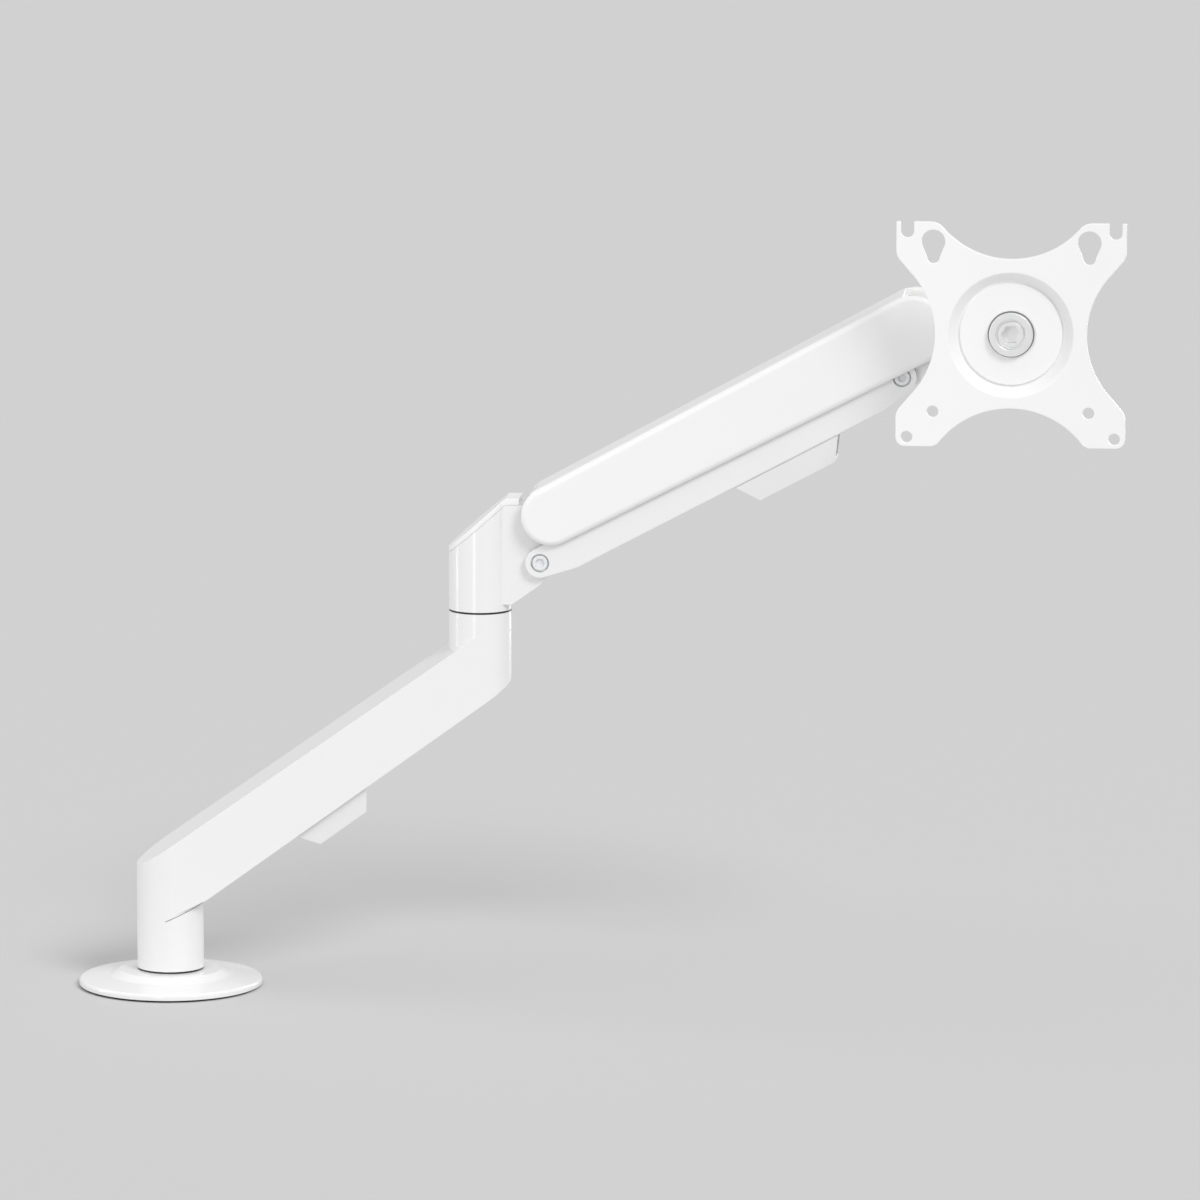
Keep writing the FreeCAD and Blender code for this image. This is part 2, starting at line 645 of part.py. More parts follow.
post_radius = size("post_dia") / 2
elbow_radius = size("elbow_dia") / 2
seat = size("hub_top") + size("seam_thick") + size("face_gap")
knuckle_base = elbow_top + size("seam_thick") + size("face_gap") * 2
bush_growth = size("bush_wall") * 2
run = size("run_gap") * 2
cheek_half = size("cheek_wide") / 2
slot_half = size("cheek_slot") / 2
link_inner = cheek_half + size("side_gap")
link_outer = link_inner + size("link_wall")
frame_inner = link_outer + size("side_gap")
frame_outer = frame_inner + size("frame_wall")


# ---------------------------------------------------------------------------------------------
# Desk flange and post spindle: these stand still
# ---------------------------------------------------------------------------------------------
def make_base_pad():
    wide = size("flange_dia") - size("pad_inset") * 2
    keep(ring(desk, "z", wide, size("foot_dia") + 2, size("pad_thick")), "base_pad")


def make_base_flange():
    body = new_body("base_flange", desk)
    outside = size("flange_dia") / 2
    skirt = size("hub_dia") / 2 + size("hub_skirt")
    shoulder = size("hub_dia") / 2 - size("hub_step")
    bore = size("post_spindle_dia") / 2
    foot_radius = size("foot_dia") / 2
    foot_top = size("foot_thick")
    skirt_height = size("flange_rim") + size("flange_rise")
    sketch = sketch_on(body, "XZ_Plane")
    add_outline(sketch, [
        (foot_radius, size("pad_thick")),
        (outside, size("pad_thick")),
        (outside, size("flange_rim")),
        (skirt, skirt_height),
        (shoulder, size("hub_top")),
        (bore, size("hub_top")),
        (bore, foot_top),
        (foot_radius, foot_top),
    ])
    revolve(body, sketch)
    for radius, height, rounding in (
        (outside, size("flange_rim"), size("flange_round")),
        (shoulder, size("hub_top"), size("hub_step")),
        (skirt, skirt_height, size("hub_blend")),
    ):
        round_edges(body, lambda edge: is_ring(edge, radius.number, height.number), rounding)
    holes = sketch_on(body, "XY_Plane", foot_top)
    add_foot_screw_holes(holes)
    pocket(body, holes, foot_screw_top - foot_top, backwards=True)


def is_ring(edge, radius, height):
    """True for a whole circle about an upright axis at this height."""
    curve = edge.Curve
    if not isinstance(curve, Part.Circle):
        return False
    return abs(curve.Radius - radius) < 1e-4 and abs(curve.Center.z - height) < 1e-4


FOOT_SCREWS = 4
foot_screw_top = size("hub_top") - size("foot_screw_cover")


def foot_screw_places():
    radius = size("foot_screw_circle") / 2
    turns = [math.radians(45 + 360 * number / FOOT_SCREWS) for number in range(FOOT_SCREWS)]
    return [(radius * math.cos(turn), radius * math.sin(turn)) for turn in turns]


def add_foot_screw_holes(sketch):
    for x, y in foot_screw_places():
        add_circle(sketch, x, y, size("foot_screw_dia"))


def make_post_spindle():
    """A foot held in the flange, and the upright spindle with its retaining groove."""
    body = new_body("post_spindle", desk)
    foot_radius = size("foot_dia") / 2
    foot_top = size("foot_thick")
    radius = size("post_spindle_dia") / 2
    top = size("post_spindle_top")
    chamfer = size("spindle_chamfer")
    groove_low = size("post_grub_height") - size("groove_wide") / 2
    groove_high = size("post_grub_height") + size("groove_wide") / 2
    tapped = size("grommet_thread_dia") / 2
    tapped_top = size("grommet_thread_deep")
    sketch = sketch_on(body, "XZ_Plane")
    add_outline(sketch, [
        (tapped, 0),
        (foot_radius, 0),
        (foot_radius, foot_top),
        (radius, foot_top),
        (radius, groove_low),
        (radius - size("groove_deep"), groove_low),
        (radius - size("groove_deep"), groove_high),
        (radius, groove_high),
        (radius, top - chamfer),
        (radius - chamfer, top),
        (0, top),
        (0, tapped_top + tapped / 2),
        (tapped, tapped_top),
    ])
    revolve(body, sketch)
    holes = sketch_on(body, "XY_Plane")
    add_foot_screw_holes(holes)
    pocket(body, holes, foot_top, backwards=True)


def make_foot_screws():
    screws = []
    for x, y in foot_screw_places():
        shank = rod(desk, "z", size("foot_screw_dia"), foot_screw_top, x, y)
        socket = hexagon(desk, "z", size("small_hex"), size("small_hex_deep"), x, y)
        screws.append(cut(shank, socket))
    keep(group(*screws), "foot_screws")


def make_post_washer():
    outer = size("post_dia") - size("seam_inset") * 2
    washer = ring(desk, "z", outer, size("post_spindle_dia"), size("seam_thick"),
                  up=size("hub_top"))
    keep(washer, "post_washer")


# ---------------------------------------------------------------------------------------------
# Lower arm: post tube, sloped beam and elbow tube in one casting, with its bushes and clip
# ---------------------------------------------------------------------------------------------
def lower_underside(along):
    return size("lower_under_height") + size("lower_under_slope") * (along - bend_place)


bend_place = size("lower_under_bend")
post_bore = size("post_spindle_dia") + run + bush_growth
elbow_bore = size("elbow_spindle_dia") + run + bush_growth


def make_lower_arm():
    body = new_body("lower_arm", swung)
    far = lower_length + elbow_radius + BEYOND
    near = -post_radius - BEYOND
    sketch = sketch_on(body, "XY_Plane", seat)
    add_outline(sketch, slot_outline(0, post_radius, lower_length, elbow_radius))
    pad(body, sketch, elbow_top - seat)
    above = sketch_on(body, "XZ_Plane")
    add_outline(above, [
        (near, lower_top(near)),
        (far, lower_top(far)),
        (far, lower_top(far) + BEYOND),
        (near, lower_top(far) + BEYOND),
    ])
    pocket(body, above, both_ways=True)
    heel = size("lower_under_height") + size("lower_heel_slope") * (near - bend_place)
    end = lower_length + elbow_radius
    slope = slope_angle(size("lower_under_slope"), as_size(1))
    radius = size("elbow_corner_round")
    tangent = radius * (1 - sine(slope)) / cosine(slope)
    below = sketch_on(body, "XZ_Plane")
    add_outline(below, [
        (near, heel),
        (near, heel - BEYOND),
        (far, heel - BEYOND),
        (far, lower_underside(end) + tangent),
        (end, lower_underside(end) + tangent, -radius),
        (end - tangent * cosine(slope), lower_underside(end) - tangent * sine(slope)),
        (bend_place, size("lower_under_height")),
    ])
    pocket(body, below, both_ways=True)
    post = sketch_on(body, "XY_Plane", seat)
    add_circle(post, 0, 0, size("post_dia"))
    pad(body, post, size("lower_under_height") - seat)
    tube_start = lower_top(lower_length - elbow_radius) - size("tube_sink")
    tube = sketch_on(body, "XY_Plane", tube_start)
    add_circle(tube, lower_length, 0, size("elbow_dia"))
    pad(body, tube, elbow_top - tube_start)
    make_lower_bores(body)
    make_cable_channel(body)


def make_lower_bores(body):
    post = sketch_on(body, "XY_Plane", seat)
    add_circle(post, 0, 0, post_bore)
    pocket(body, post, size("post_spindle_top") + size("bore_beyond") - seat, backwards=True)
    tube = sketch_on(body, "XY_Plane", elbow_top)
    add_circle(tube, lower_length, 0, elbow_bore)
    pocket(body, tube, elbow_top - elbow_spindle_low + size("bore_beyond"))
    grubs = sketch_on(body, "XZ_Plane")
    add_circle(grubs, 0, size("post_grub_height"), size("grub_dia"))
    add_circle(grubs, lower_length, elbow_grub_height, size("grub_dia"))
    pocket(body, grubs, size("post_dia"))


def make_cable_channel(body):
    start = size("channel_start")
    stop = size("channel_stop")
    deep = size("channel_deep")
    sketch = sketch_on(body, "XZ_Plane")
    add_outline(sketch, [
        (start, lower_underside(start) - PROUD),
        (stop, lower_underside(stop) - PROUD),
        (stop, lower_underside(stop) + deep),
        (start, lower_underside(start) + deep),
    ])
    pocket(body, sketch, size("channel_wide"), both_ways=True)


def make_post_bushes():
    inner = size("post_spindle_dia") + run
    low = seat
    high = size("post_spindle_top") - size("bush_long") - size("spindle_chamfer")
    bushes = [
        ring(swung, "z", post_bore, inner, size("bush_long"), up=height)
        for height in (low, high)
    ]
    keep(group(*bushes), "post_bushes")


def make_elbow_bushes():
    inner = size("elbow_spindle_dia") + run
    low = elbow_spindle_low + size("spindle_chamfer")
    high = elbow_top - size("bush_long")
    bushes = [
        ring(swung, "z", elbow_bore, inner, size("bush_long"), lower_length, 0, height)
        for height in (low, high)
    ]
    keep(group(*bushes), "elbow_bushes")


def make_grub_screws():
    """One grub screw in the back of each tube, its tip in the spindle's groove."""
    screws = []
    long = size("grub_long")
    deep = size("small_hex_deep")
    for along, spindle, height in (
        (0, size("post_spindle_dia"), size("post_grub_height")),
        (lower_length, size("elbow_spindle_dia"), elbow_grub_height),
    ):
        tip = spindle / 2 - size("groove_deep") + size("grub_tip_gap")
        shank = rod(swung, "y", size("grub_dia"), long, along, tip, height)
        socket = hexagon(swung, "y", size("small_hex"), deep, along, tip + long - deep, height)
        screws.append(cut(shank, socket))
    keep(group(*screws), "swivel_grub_screws")


def make_elbow_washer():
    outer = size("elbow_dia") - size("seam_inset") * 2
    washer = ring(swung, "z", outer, size("elbow_spindle_dia") + run, size("seam_thick"),
                  lower_length, 0, elbow_top + size("face_gap"))
    keep(washer, "elbow_washer")


def make_clip(label, frame, long, wide, deep, opening):
    """A sloped trough that hangs under a beam, with two snap tabs that go up into it.

    The frame's origin is the middle of the clip's top. The opening is the half width between
    the walls that the tabs lean against.
    """
    body = new_body(label, frame)
    wall = size("clip_wall")
    half_long = long / 2
    foot_long = half_long - size("clip_end_inset")
    half = wide / 2
    low_half = half - size("clip_side_inset")
    section = sketch_on(body, "YZ_Plane")
    add_outline(section, [(-half, 0), (-low_half, -deep), (low_half, -deep), (half, 0)])
    pad(body, section, long, both_ways=True)
    for side in (-1, 1):
        end = sketch_on(body, "XZ_Plane")
        add_outline(end, [
            (half_long * side, PROUD),
            (half_long * side, 0),
            (foot_long * side, -deep),
            (foot_long * side, -deep - PROUD),
            ((half_long + PROUD) * side, -deep - PROUD),
            ((half_long + PROUD) * side, PROUD),
        ])
        pocket(body, end, both_ways=True)
    tab_in = opening - size("clip_tab_thick")
    hollow = sketch_on(body, "YZ_Plane")
    add_outline(hollow, [
        (-tab_in, PROUD),
        (-tab_in, -wall),
        (-half + wall, -wall),
        (-low_half + wall, -deep + wall),
        (low_half - wall, -deep + wall),
        (half - wall, -wall),
        (tab_in, -wall),
        (tab_in, PROUD),
    ])
    pocket(body, hollow, both_ways=True)
    for side in (-1, 1):
        tab = sketch_on(body, "YZ_Plane")
        add_outline(tab, [
            (tab_in * side, -wall),
            (opening * side, -wall),
            (opening * side, size("clip_tab_tall")),
            (tab_in * side, size("clip_tab_tall")),
        ])
        pad(body, tab, long * size("clip_tab_share"), both_ways=True)


def make_lower_clip():
    along = size("lower_clip_place")
    slope = slope_angle(size("lower_under_slope"), as_size(1))
    top = swung.point(along, 0, lower_underside(along) - size("clip_rest_gap"))
    frame = Frame(top, size("lower_yaw"), slope)
    opening = size("channel_wide") / 2 - size("clip_gap")
    make_clip("lower_cable_clip", frame, size("lower_clip_long"), size("lower_clip_wide"),
              size("lower_clip_deep"), opening)


# ---------------------------------------------------------------------------------------------
# Knuckle: turns on the elbow and carries both lower pivots and the spring's adjuster
# ---------------------------------------------------------------------------------------------
def make_elbow_spindle():
    body = new_body("elbow_spindle", elbow)
    radius = size("elbow_spindle_dia") / 2
    groove_low = elbow_grub_height - size("groove_wide") / 2
    groove_high = elbow_grub_height + size("groove_wide") / 2
    chamfer = size("spindle_chamfer")
    low = elbow_spindle_low
    sketch = sketch_on(body, "XZ_Plane")
    add_outline(sketch, [
        (0, low),
        (radius - chamfer, low),
        (radius, low + chamfer),
        (radius, groove_low),
        (radius - size("groove_deep"), groove_low),
        (radius - size("groove_deep"), groove_high),
        (radius, groove_high),
        (radius, elbow_spindle_top),
        (0, elbow_spindle_top),
    ])
    revolve(body, sketch)


def slanted_top(along):
    """Height of the cap's slanted face at a distance from the elbow axis."""
    return knuckle_low + size("knuckle_slope") * (along + elbow_radius)


slant_end = (knuckle_flat - knuckle_low) / size("knuckle_slope") - elbow_radius


def above_outline(lowered):
    """Everything above the cap's slanted face and its flat end, lowered by an amount."""
    near = -elbow_radius - PROUD
    far = size("knuckle_nose") + BEYOND
    return [
        (near, slanted_top(near) - lowered),
        (slant_end, knuckle_flat - lowered),
        (far, knuckle_flat - lowered),
        (far, knuckle_flat + BEYOND),
        (near, knuckle_flat + BEYOND),
    ]


def make_knuckle():
    body = new_body("knuckle", elbow)
    tall = knuckle_flat - knuckle_base
    sketch = sketch_on(body, "XY_Plane", knuckle_base)
    add_circle(sketch, 0, 0, size("elbow_dia"))
    pad(body, sketch, tall)
    make_cheeks(body)
    above = sketch_on(body, "XZ_Plane")
    add_outline(above, above_outline(size("cap_thick")))
    pocket(body, above, both_ways=True)
    make_high_boss(body)
    make_adjuster_slots(body)
    make_knuckle_bores(body)


def make_cheeks(body):
    """The two-sided plate that reaches out to both pivots, round under the lower one."""
    x, z = low_pivot
    radius = size("low_boss_dia") / 2
    cheeks = sketch_on(body, "XZ_Plane")
    add_outline(cheeks, [
        (0, cheek_low),
        (size("cheek_heel"), cheek_low),
        (x, z - radius * 1.6),
        (x + radius * 0.5, z - radius * math.sqrt(0.75), radius),
        (x + radius, z),
        (high_pivot[0] + size("high_boss_dia") / 2, high_pivot[1]),
        (high_pivot[0], knuckle_flat - size("cap_thick")),
        (0, knuckle_flat - size("cap_thick")),
    ])
    pad(body, cheeks, size("cheek_wide"), both_ways=True)


def make_high_boss(body):
    boss = sketch_on(body, "XZ_Plane")
    add_circle(boss, high_pivot[0], high_pivot[1], size("high_boss_dia"))
    pad(body, boss, size("cheek_wide"), both_ways=True)


def adjuster_point(outward, up):
    """A point beside the adjuster screw: outward to the arm's side, up along the screw."""
    outward, up, lean = as_size(outward), as_size(up), size("adjuster_lean")
    x = high_pivot[0] + outward * cosine(lean) - up * sine(lean)
    z = high_pivot[1] - size("spring_drop") + outward * sine(lean) + up * cosine(lean)
    return x, z


bridge_low = size("bridge_low")
bridge_top = bridge_low + size("bridge_thick")


def make_adjuster_slots(body):
    """The room between the cheeks, above and below the bridge that holds the adjuster."""
    left = adjuster_point(-size("slot_behind_low"), bridge_low)
    right = adjuster_point(BEYOND, bridge_low)
    below = sketch_on(body, "XZ_Plane")
    add_outline(below, [
        left,
        (left[0], knuckle_base - PROUD),
        (right[0], knuckle_base - PROUD),
        right,
    ])
    pocket(body, below, size("cheek_slot"), both_ways=True)
    above = sketch_on(body, "XZ_Plane")
    behind = -size("slot_behind_high")
    add_outline(above, [
        adjuster_point(behind, bridge_top),
        adjuster_point(BEYOND, bridge_top),
        adjuster_point(BEYOND, bridge_top + BEYOND),
        adjuster_point(behind, bridge_top + BEYOND),
    ])
    pocket(body, above, size("cheek_slot"), both_ways=True)


def make_knuckle_bores(body):
    bores = sketch_on(body, "XZ_Plane")
    add_circle(bores, high_pivot[0], high_pivot[1], size("hinge_bush_dia"))
    add_circle(bores, low_pivot[0], low_pivot[1], size("link_screw_dia"))
    pocket(body, bores, both_ways=True)
    spindle = sketch_on(body, "XY_Plane", knuckle_base)
    add_circle(spindle, 0, 0, size("elbow_spindle_dia"))
    pocket(body, spindle, elbow_spindle_top - knuckle_base, backwards=True)
    carve_adjuster_hole(body)


def carve_adjuster_hole(body):
    """The round hole through the bridge, as a leaning tool cut from the finished body."""
    place = adjuster_frame()
    hole = rod(place, "z", size("adjuster_dia") + size("adjuster_hole_gap") * 2,
               size("bridge_thick") + PROUD * 2, up=bridge_low - PROUD)
    nodes.remove(body)
    body.Label = "knuckle_casting"
    keep(cut(body, hole), "knuckle")


def adjuster_frame():
    x, z = adjuster_point(0, 0)
    return Frame(elbow.point(x, 0, z), rise=size("adjuster_lean"))


def make_knuckle_cap():
    body = new_body("knuckle_cap", elbow)
    low = knuckle_base
    plan = sketch_on(body, "XY_Plane", low)
    add_circle(plan, 0, 0, size("elbow_dia"))
    pad(body, plan, knuckle_flat - low)
    nose = sketch_on(body, "XY_Plane", low)
    add_outline(nose, [
        (0, -cheek_half),
        (size("knuckle_nose"), -cheek_half),
        (size("knuckle_nose"), cheek_half),
        (0, cheek_half),
    ])
    pad(body, nose, knuckle_flat - low)
    above = sketch_on(body, "XZ_Plane")
    add_outline(above, above_outline(as_size(0)))
    pocket(body, above, both_ways=True)
    top = above_outline(size("cap_thick"))
    below = sketch_on(body, "XZ_Plane")
    add_outline(below, [
        top[0],
        (top[0][0], low - PROUD),
        (top[2][0], low - PROUD),
        top[2],
        top[1],
    ])
    pocket(body, below, both_ways=True)


def hinge_bushes(label, frame, x, z):
    """A flanged bush in each cheek; its flange fills the gap out to the frame."""
    bushes = []
    sleeve = cheek_half - slot_half
    flange = frame_inner - cheek_half - size("side_gap")
    for side in (-1, 1):
        start = -cheek_half if side < 0 else slot_half
        flange_start = -cheek_half - flange if side < 0 else cheek_half
        bushes.append(cut(
            fuse(
                rod(frame, "y", size("hinge_bush_dia"), sleeve, x, start, z),
                rod(frame, "y", size("hinge_flange_dia"), flange, x, flange_start, z),
            ),
            rod(frame, "y", size("hinge_pin_dia") + run, frame_outer * 2, x, -frame_outer, z),
        ))
    keep(group(*bushes), label)


def link_screws(label, frame, x, z):
    """A shoulder screw in each cheek: a low socket head, and a shoulder in the link's bore."""
    head_face = link_outer - size("link_bore_deep")
    screws = []
    for side in (-1, 1):
        outside = -head_face - size("link_head_thick")
        shank_start = slot_half if side > 0 else -head_face
        head_start = head_face if side > 0 else outside
        socket_start = head_face + size("link_head_floor") if side > 0 else outside
        socket_deep = size("link_head_thick") - size("link_head_floor")
        shank = rod(frame, "y", size("link_screw_dia"), head_face - slot_half, x, shank_start, z)
        cap = rod(frame, "y", size("link_head_dia"), size("link_head_thick"), x, head_start, z)
        socket = hexagon(frame, "y", size("link_hex"), socket_deep, x, socket_start, z)
        screws.append(cut(fuse(shank, cap), socket))
    keep(group(*screws), label)


def make_cross_nut():
    place = adjuster_frame()
    end = slot_half - size("nut_end_gap")
    bar = rod(place, "y", size("nut_dia"), end * 2, across=-end)
    hole = rod(place, "z", size("adjuster_dia") + run, size("nut_dia") * 2, up=-size("nut_dia"))
    keep(cut(bar, hole), "adjuster_cross_nut")


def make_adjuster_screw():
    place = adjuster_frame()
    tail = size("adjuster_tail")
    top = bridge_top + size("face_gap")
    shank = rod(place, "z", size("adjuster_dia"), tail + top, up=-tail)
    cap = rod(place, "z", size("adjuster_head_dia"), size("adjuster_head_tall"), up=top)
    deep = size("adjuster_hex_deep")
    socket = hexagon(place, "z", size("adjuster_hex"), deep,
                     up=top + size("adjuster_head_tall") - deep)
    keep(cut(fuse(shank, cap), socket), "adjuster_screw")


# ---------------------------------------------------------------------------------------------
# Upper arm: inner frame and cover, the gas spring, and the stub pins of both upper pivots
# ---------------------------------------------------------------------------------------------
middle = -size("cover_drop")
panel_stop = arm_length + size("panel_beyond")


def cover_radii(inward):
    """The cover's two end radii, moved inward by a wall."""
    return size("cover_low_dia") / 2 - inward, size("cover_high_dia") / 2 - inward


def panel_line(along, inward):
    """Height of the top panel's outside, moved inward by a wall, at a place along the arm."""
    low, high = cover_radii(inward)
    lean = (high - low) / arm_length
    upright = root(1 - lean * lean)
    return middle + low / upright + along * lean / upright


def make_arm_shell(label, inward, half_wide, wall):
    """An upside-down channel with round ends: two side walls and a top panel."""
    body = new_body(label, arm)
    low, high = cover_radii(inward)
    side = sketch_on(body, "XZ_Plane")
    add_outline(side, slot_outline(0, low, arm_length, high, middle))
    pad(body, side, half_wide * 2, both_ways=True)
    if label == "arm_cover":
        round_edges(body, is_cover_top_edge, size("cover_round"))
    start = size("panel_start")
    reach = arm_length + BEYOND
    inside = sketch_on(body, "XZ_Plane")
    add_outline(inside, [
        (-BEYOND, -BEYOND),
        (reach, -BEYOND),
        (reach, BEYOND),
        (panel_stop, BEYOND),
        (panel_stop, panel_line(panel_stop, inward + wall)),
        (start, panel_line(start, inward + wall)),
        (start, BEYOND),
        (-BEYOND, BEYOND),
    ])
    pocket(body, inside, (half_wide - wall) * 2, both_ways=True)
    notch_half = size("notch_wide") / 2
    notch_stop = start + size("notch_deep")
    notch = sketch_on(body, "XY_Plane")
    add_outline(notch, [
        (start - PROUD, -notch_half),
        (notch_stop, -notch_half),
        (notch_stop, notch_half),
        (start - PROUD, notch_half),
    ])
    pocket(body, notch, BEYOND, backwards=True)
    return body


def is_cover_top_edge(edge):
    """The cover's outside edges along the top and round both ends."""
    box = edge.BoundBox
    flat = box.YLength < 1e-6
    return flat and box.ZMax > middle.number - 1e-6


def make_arm_frame():
    inward = size("cover_wall")
    body = make_arm_shell("arm_frame", inward, frame_outer, size("frame_wall"))
    holes = sketch_on(body, "XZ_Plane")
    add_circle(holes, 0, 0, size("hinge_pin_dia"))
    add_circle(holes, arm_length, 0, size("hinge_pin_dia"))
    add_circle(holes, size("spring_reach"), size("spring_lift"), size("anchor_dia"))
    pocket(body, holes, both_ways=True)


def make_arm_cover():
    make_arm_shell("arm_cover", as_size(0), frame_outer + size("cover_wall"), size("cover_wall"))


def stub_pins(label, along):
    """A stub pin on each side, fixed in the frame's wall and reaching through the cheek."""
    inner_end = slot_half + size("hinge_pin_short")
    pins = [
        rod(arm, "y", size("hinge_pin_dia"), frame_outer - inner_end, along, start, 0)
        for start in (-frame_outer, inner_end)
    ]
    keep(group(*pins), label)


nut_place = (
    -size("spring_drop") * sine(rise),
    -size("spring_drop") * cosine(rise),
)
spring_run = (size("spring_reach") - nut_place[0], size("spring_lift") - nut_place[1])
spring_length = root(spring_run[0] * spring_run[0] + spring_run[1] * spring_run[1])
spring_rise = rise + slope_angle(spring_run[1], spring_run[0])
spring = Frame(arm.point(nut_place[0], 0, nut_place[1]), rise=spring_rise)
gas_bore = size("gas_dia") - size("gas_wall") * 2


def make_gas_cylinder():
    """A tube with a closed end and an eye. The spring's frame starts at the cross nut."""
    outer = size("gas_dia")
    start = size("gas_start")
    plug = spring_length - size("gas_plug")
    tube = rod(spring, "x", outer, plug - start, start)
    bore = rod(spring, "x", gas_bore, plug - size("gas_floor") - start, start)
    neck = rod(spring, "x", size("gas_neck_dia"), size("gas_plug"), plug)
    eye = rod(spring, "y", size("eye_dia"), size("eye_wide"), spring_length,
              -size("eye_wide") / 2)
    solid = fuse(cut(tube, bore), neck, eye)
    pin = rod(spring, "y", size("anchor_dia"), outer * 2, spring_length, -outer)
    keep(cut(solid, pin), "gas_cylinder")


def make_spring_anchor():
    pin = rod(arm, "y", size("anchor_dia"), frame_outer * 2, size("spring_reach"),
              -frame_outer, size("spring_lift"))
    keep(pin, "spring_anchor_pin")
    half = size("eye_wide") / 2
    spacers = [
        ring(arm, "y", size("anchor_dia") + size("spacer_wall") * 2, size("anchor_dia"),
             frame_inner - half, size("spring_reach"), start, size("spring_lift"))
        for start in (-frame_inner, half)
    ]
    keep(group(*spacers), "spring_anchor_spacers")


def make_gas_guide():
    guide = ring(spring, "x", gas_bore, size("rod_dia") + run, size("gas_guide_long"),
                 size("gas_start"))
    keep(guide, "gas_rod_guide")


def make_piston_rod():
    start = size("rod_start")
    piston_start = size("piston_place") - size("piston_long") / 2
    keep(rod(spring, "x", size("rod_dia"), piston_start - start, start), "piston_rod")
    piston_dia = gas_bore - size("piston_gap") * 2
    keep(rod(spring, "x", piston_dia, size("piston_long"), piston_start), "piston")


def make_rod_fork():
    """The rod's end: a block with a cup that bears on the cross nut, slotted for the screw."""
    body = new_body("rod_fork", spring)
    half_tall = size("fork_tall") / 2
    back_tall = half_tall - size("fork_taper")
    back = size("rod_start") + size("fork_back")
    side = sketch_on(body, "XZ_Plane")
    add_outline(side, [
        (size("fork_start"), -half_tall),
        (back, -back_tall),
        (back, back_tall),
        (size("fork_start"), half_tall),
    ])
    pad(body, side, size("cheek_slot") - size("fork_side_gap") * 2, both_ways=True)
    cup = sketch_on(body, "XZ_Plane")
    add_circle(cup, 0, 0, size("nut_dia") + size("fork_cup_gap") * 2)
    pocket(body, cup, both_ways=True)
    slot_end = size("rod_start") - size("fork_taper")
    slot = sketch_on(body, "XZ_Plane")
    add_outline(slot, [
        (0, -half_tall - PROUD),
        (slot_end, -half_tall - PROUD),
        (slot_end, half_tall + PROUD),
        (0, half_tall + PROUD),
    ])
    pocket(body, slot, size("fork_slot"), both_ways=True)
    socket = sketch_on(body, "YZ_Plane", size("rod_start"))
    add_circle(socket, 0, 0, size("rod_dia"))
    pocket(body, socket, size("rod_dia"), backwards=True)


# ---------------------------------------------------------------------------------------------
# Lower link: the parallelogram's second bar, an open channel under the upper arm
# ---------------------------------------------------------------------------------------------
def make_lower_link():
    body = new_body("lower_link", link)
    end = size("link_end_dia") / 2
    bend = size("link_bend")
    below = size("link_below")
    above = size("link_above")
    wide = link_outer * 2
    side = sketch_on(body, "XZ_Plane")
    add_outline(side, [
        (0, -end),
        (bend, -below),
        (arm_length - bend, -below),
        (arm_length, -end, end),
        (arm_length + end, 0, end),
        (arm_length, end),
        (arm_length - size("link_wall_full"), end),
        (arm_length - size("link_wall_low"), above),
        (size("link_wall_low"), above),
        (size("link_wall_full"), end),
        (0, end, end),
        (-end, 0, end),
    ])
    pad(body, side, wide, both_ways=True)
    round_edges(body, is_link_long_edge, size("link_round"))
    floor = -below + size("link_floor")
    floor_start = size("link_floor_start")
    inside = sketch_on(body, "XZ_Plane")
    add_outline(inside, [
        (-BEYOND, -BEYOND),
        (floor_start, -BEYOND),
        (floor_start, floor),
        (arm_length - floor_start, floor),
        (arm_length - floor_start, -BEYOND),
        (arm_length + BEYOND, -BEYOND),
        (arm_length + BEYOND, BEYOND),
        (-BEYOND, BEYOND),
    ])
    pocket(body, inside, link_inner * 2, both_ways=True)
    make_link_bores(body)
    make_tab_slots(body)


def is_link_long_edge(edge):
    """The link's long outside edges along its underside."""
    box = edge.BoundBox
    straight = edge.Curve.TypeId == "Part::GeomLine"
    return straight and box.XLength > arm_length.number * 0.5 and box.ZMax < 0


def make_link_bores(body):
    bores = sketch_on(body, "XZ_Plane")
    add_circle(bores, 0, 0, size("link_screw_dia") + run)
    add_circle(bores, arm_length, 0, size("link_screw_dia") + size("open_pivot_gap") * 2)
    pocket(body, bores, both_ways=True)
    for side in (-1, 1):
        recess = sketch_on(body, "XZ_Plane", link_outer * side)
        add_circle(recess, 0, 0, size("link_bore_dia"))
        add_circle(recess, arm_length, 0, size("link_bore_dia"))
        pocket(body, recess, size("link_bore_deep"), backwards=side < 0)


def make_tab_slots(body):
    """Two slots in the floor for the cable clip's snap tabs."""
    gap = size("clip_gap")
    long = size("upper_clip_long") * size("clip_tab_share") + gap * 2
    inner = link_inner - size("clip_tab_thick") - gap * 2
    slots = sketch_on(body, "XY_Plane", -size("link_below") - PROUD)
    for side in (-1, 1):
        start = size("upper_clip_place") - long / 2
        corners = [
            (start, inner * side),
            (start + long, inner * side),
            (start + long, link_inner * side),
            (start, link_inner * side),
        ]
        add_outline(slots, corners)
    pocket(body, slots, size("link_floor") + PROUD * 2, backwards=True)


def make_upper_clip():
    low = -size("link_below") - size("clip_rest_gap")
    frame = Frame(link.point(size("upper_clip_place"), 0, low), rise=rise)
    opening = link_inner - size("clip_gap")
    make_clip("upper_cable_clip", frame, size("upper_clip_long"), size("upper_clip_wide"),
              size("upper_clip_deep"), opening)


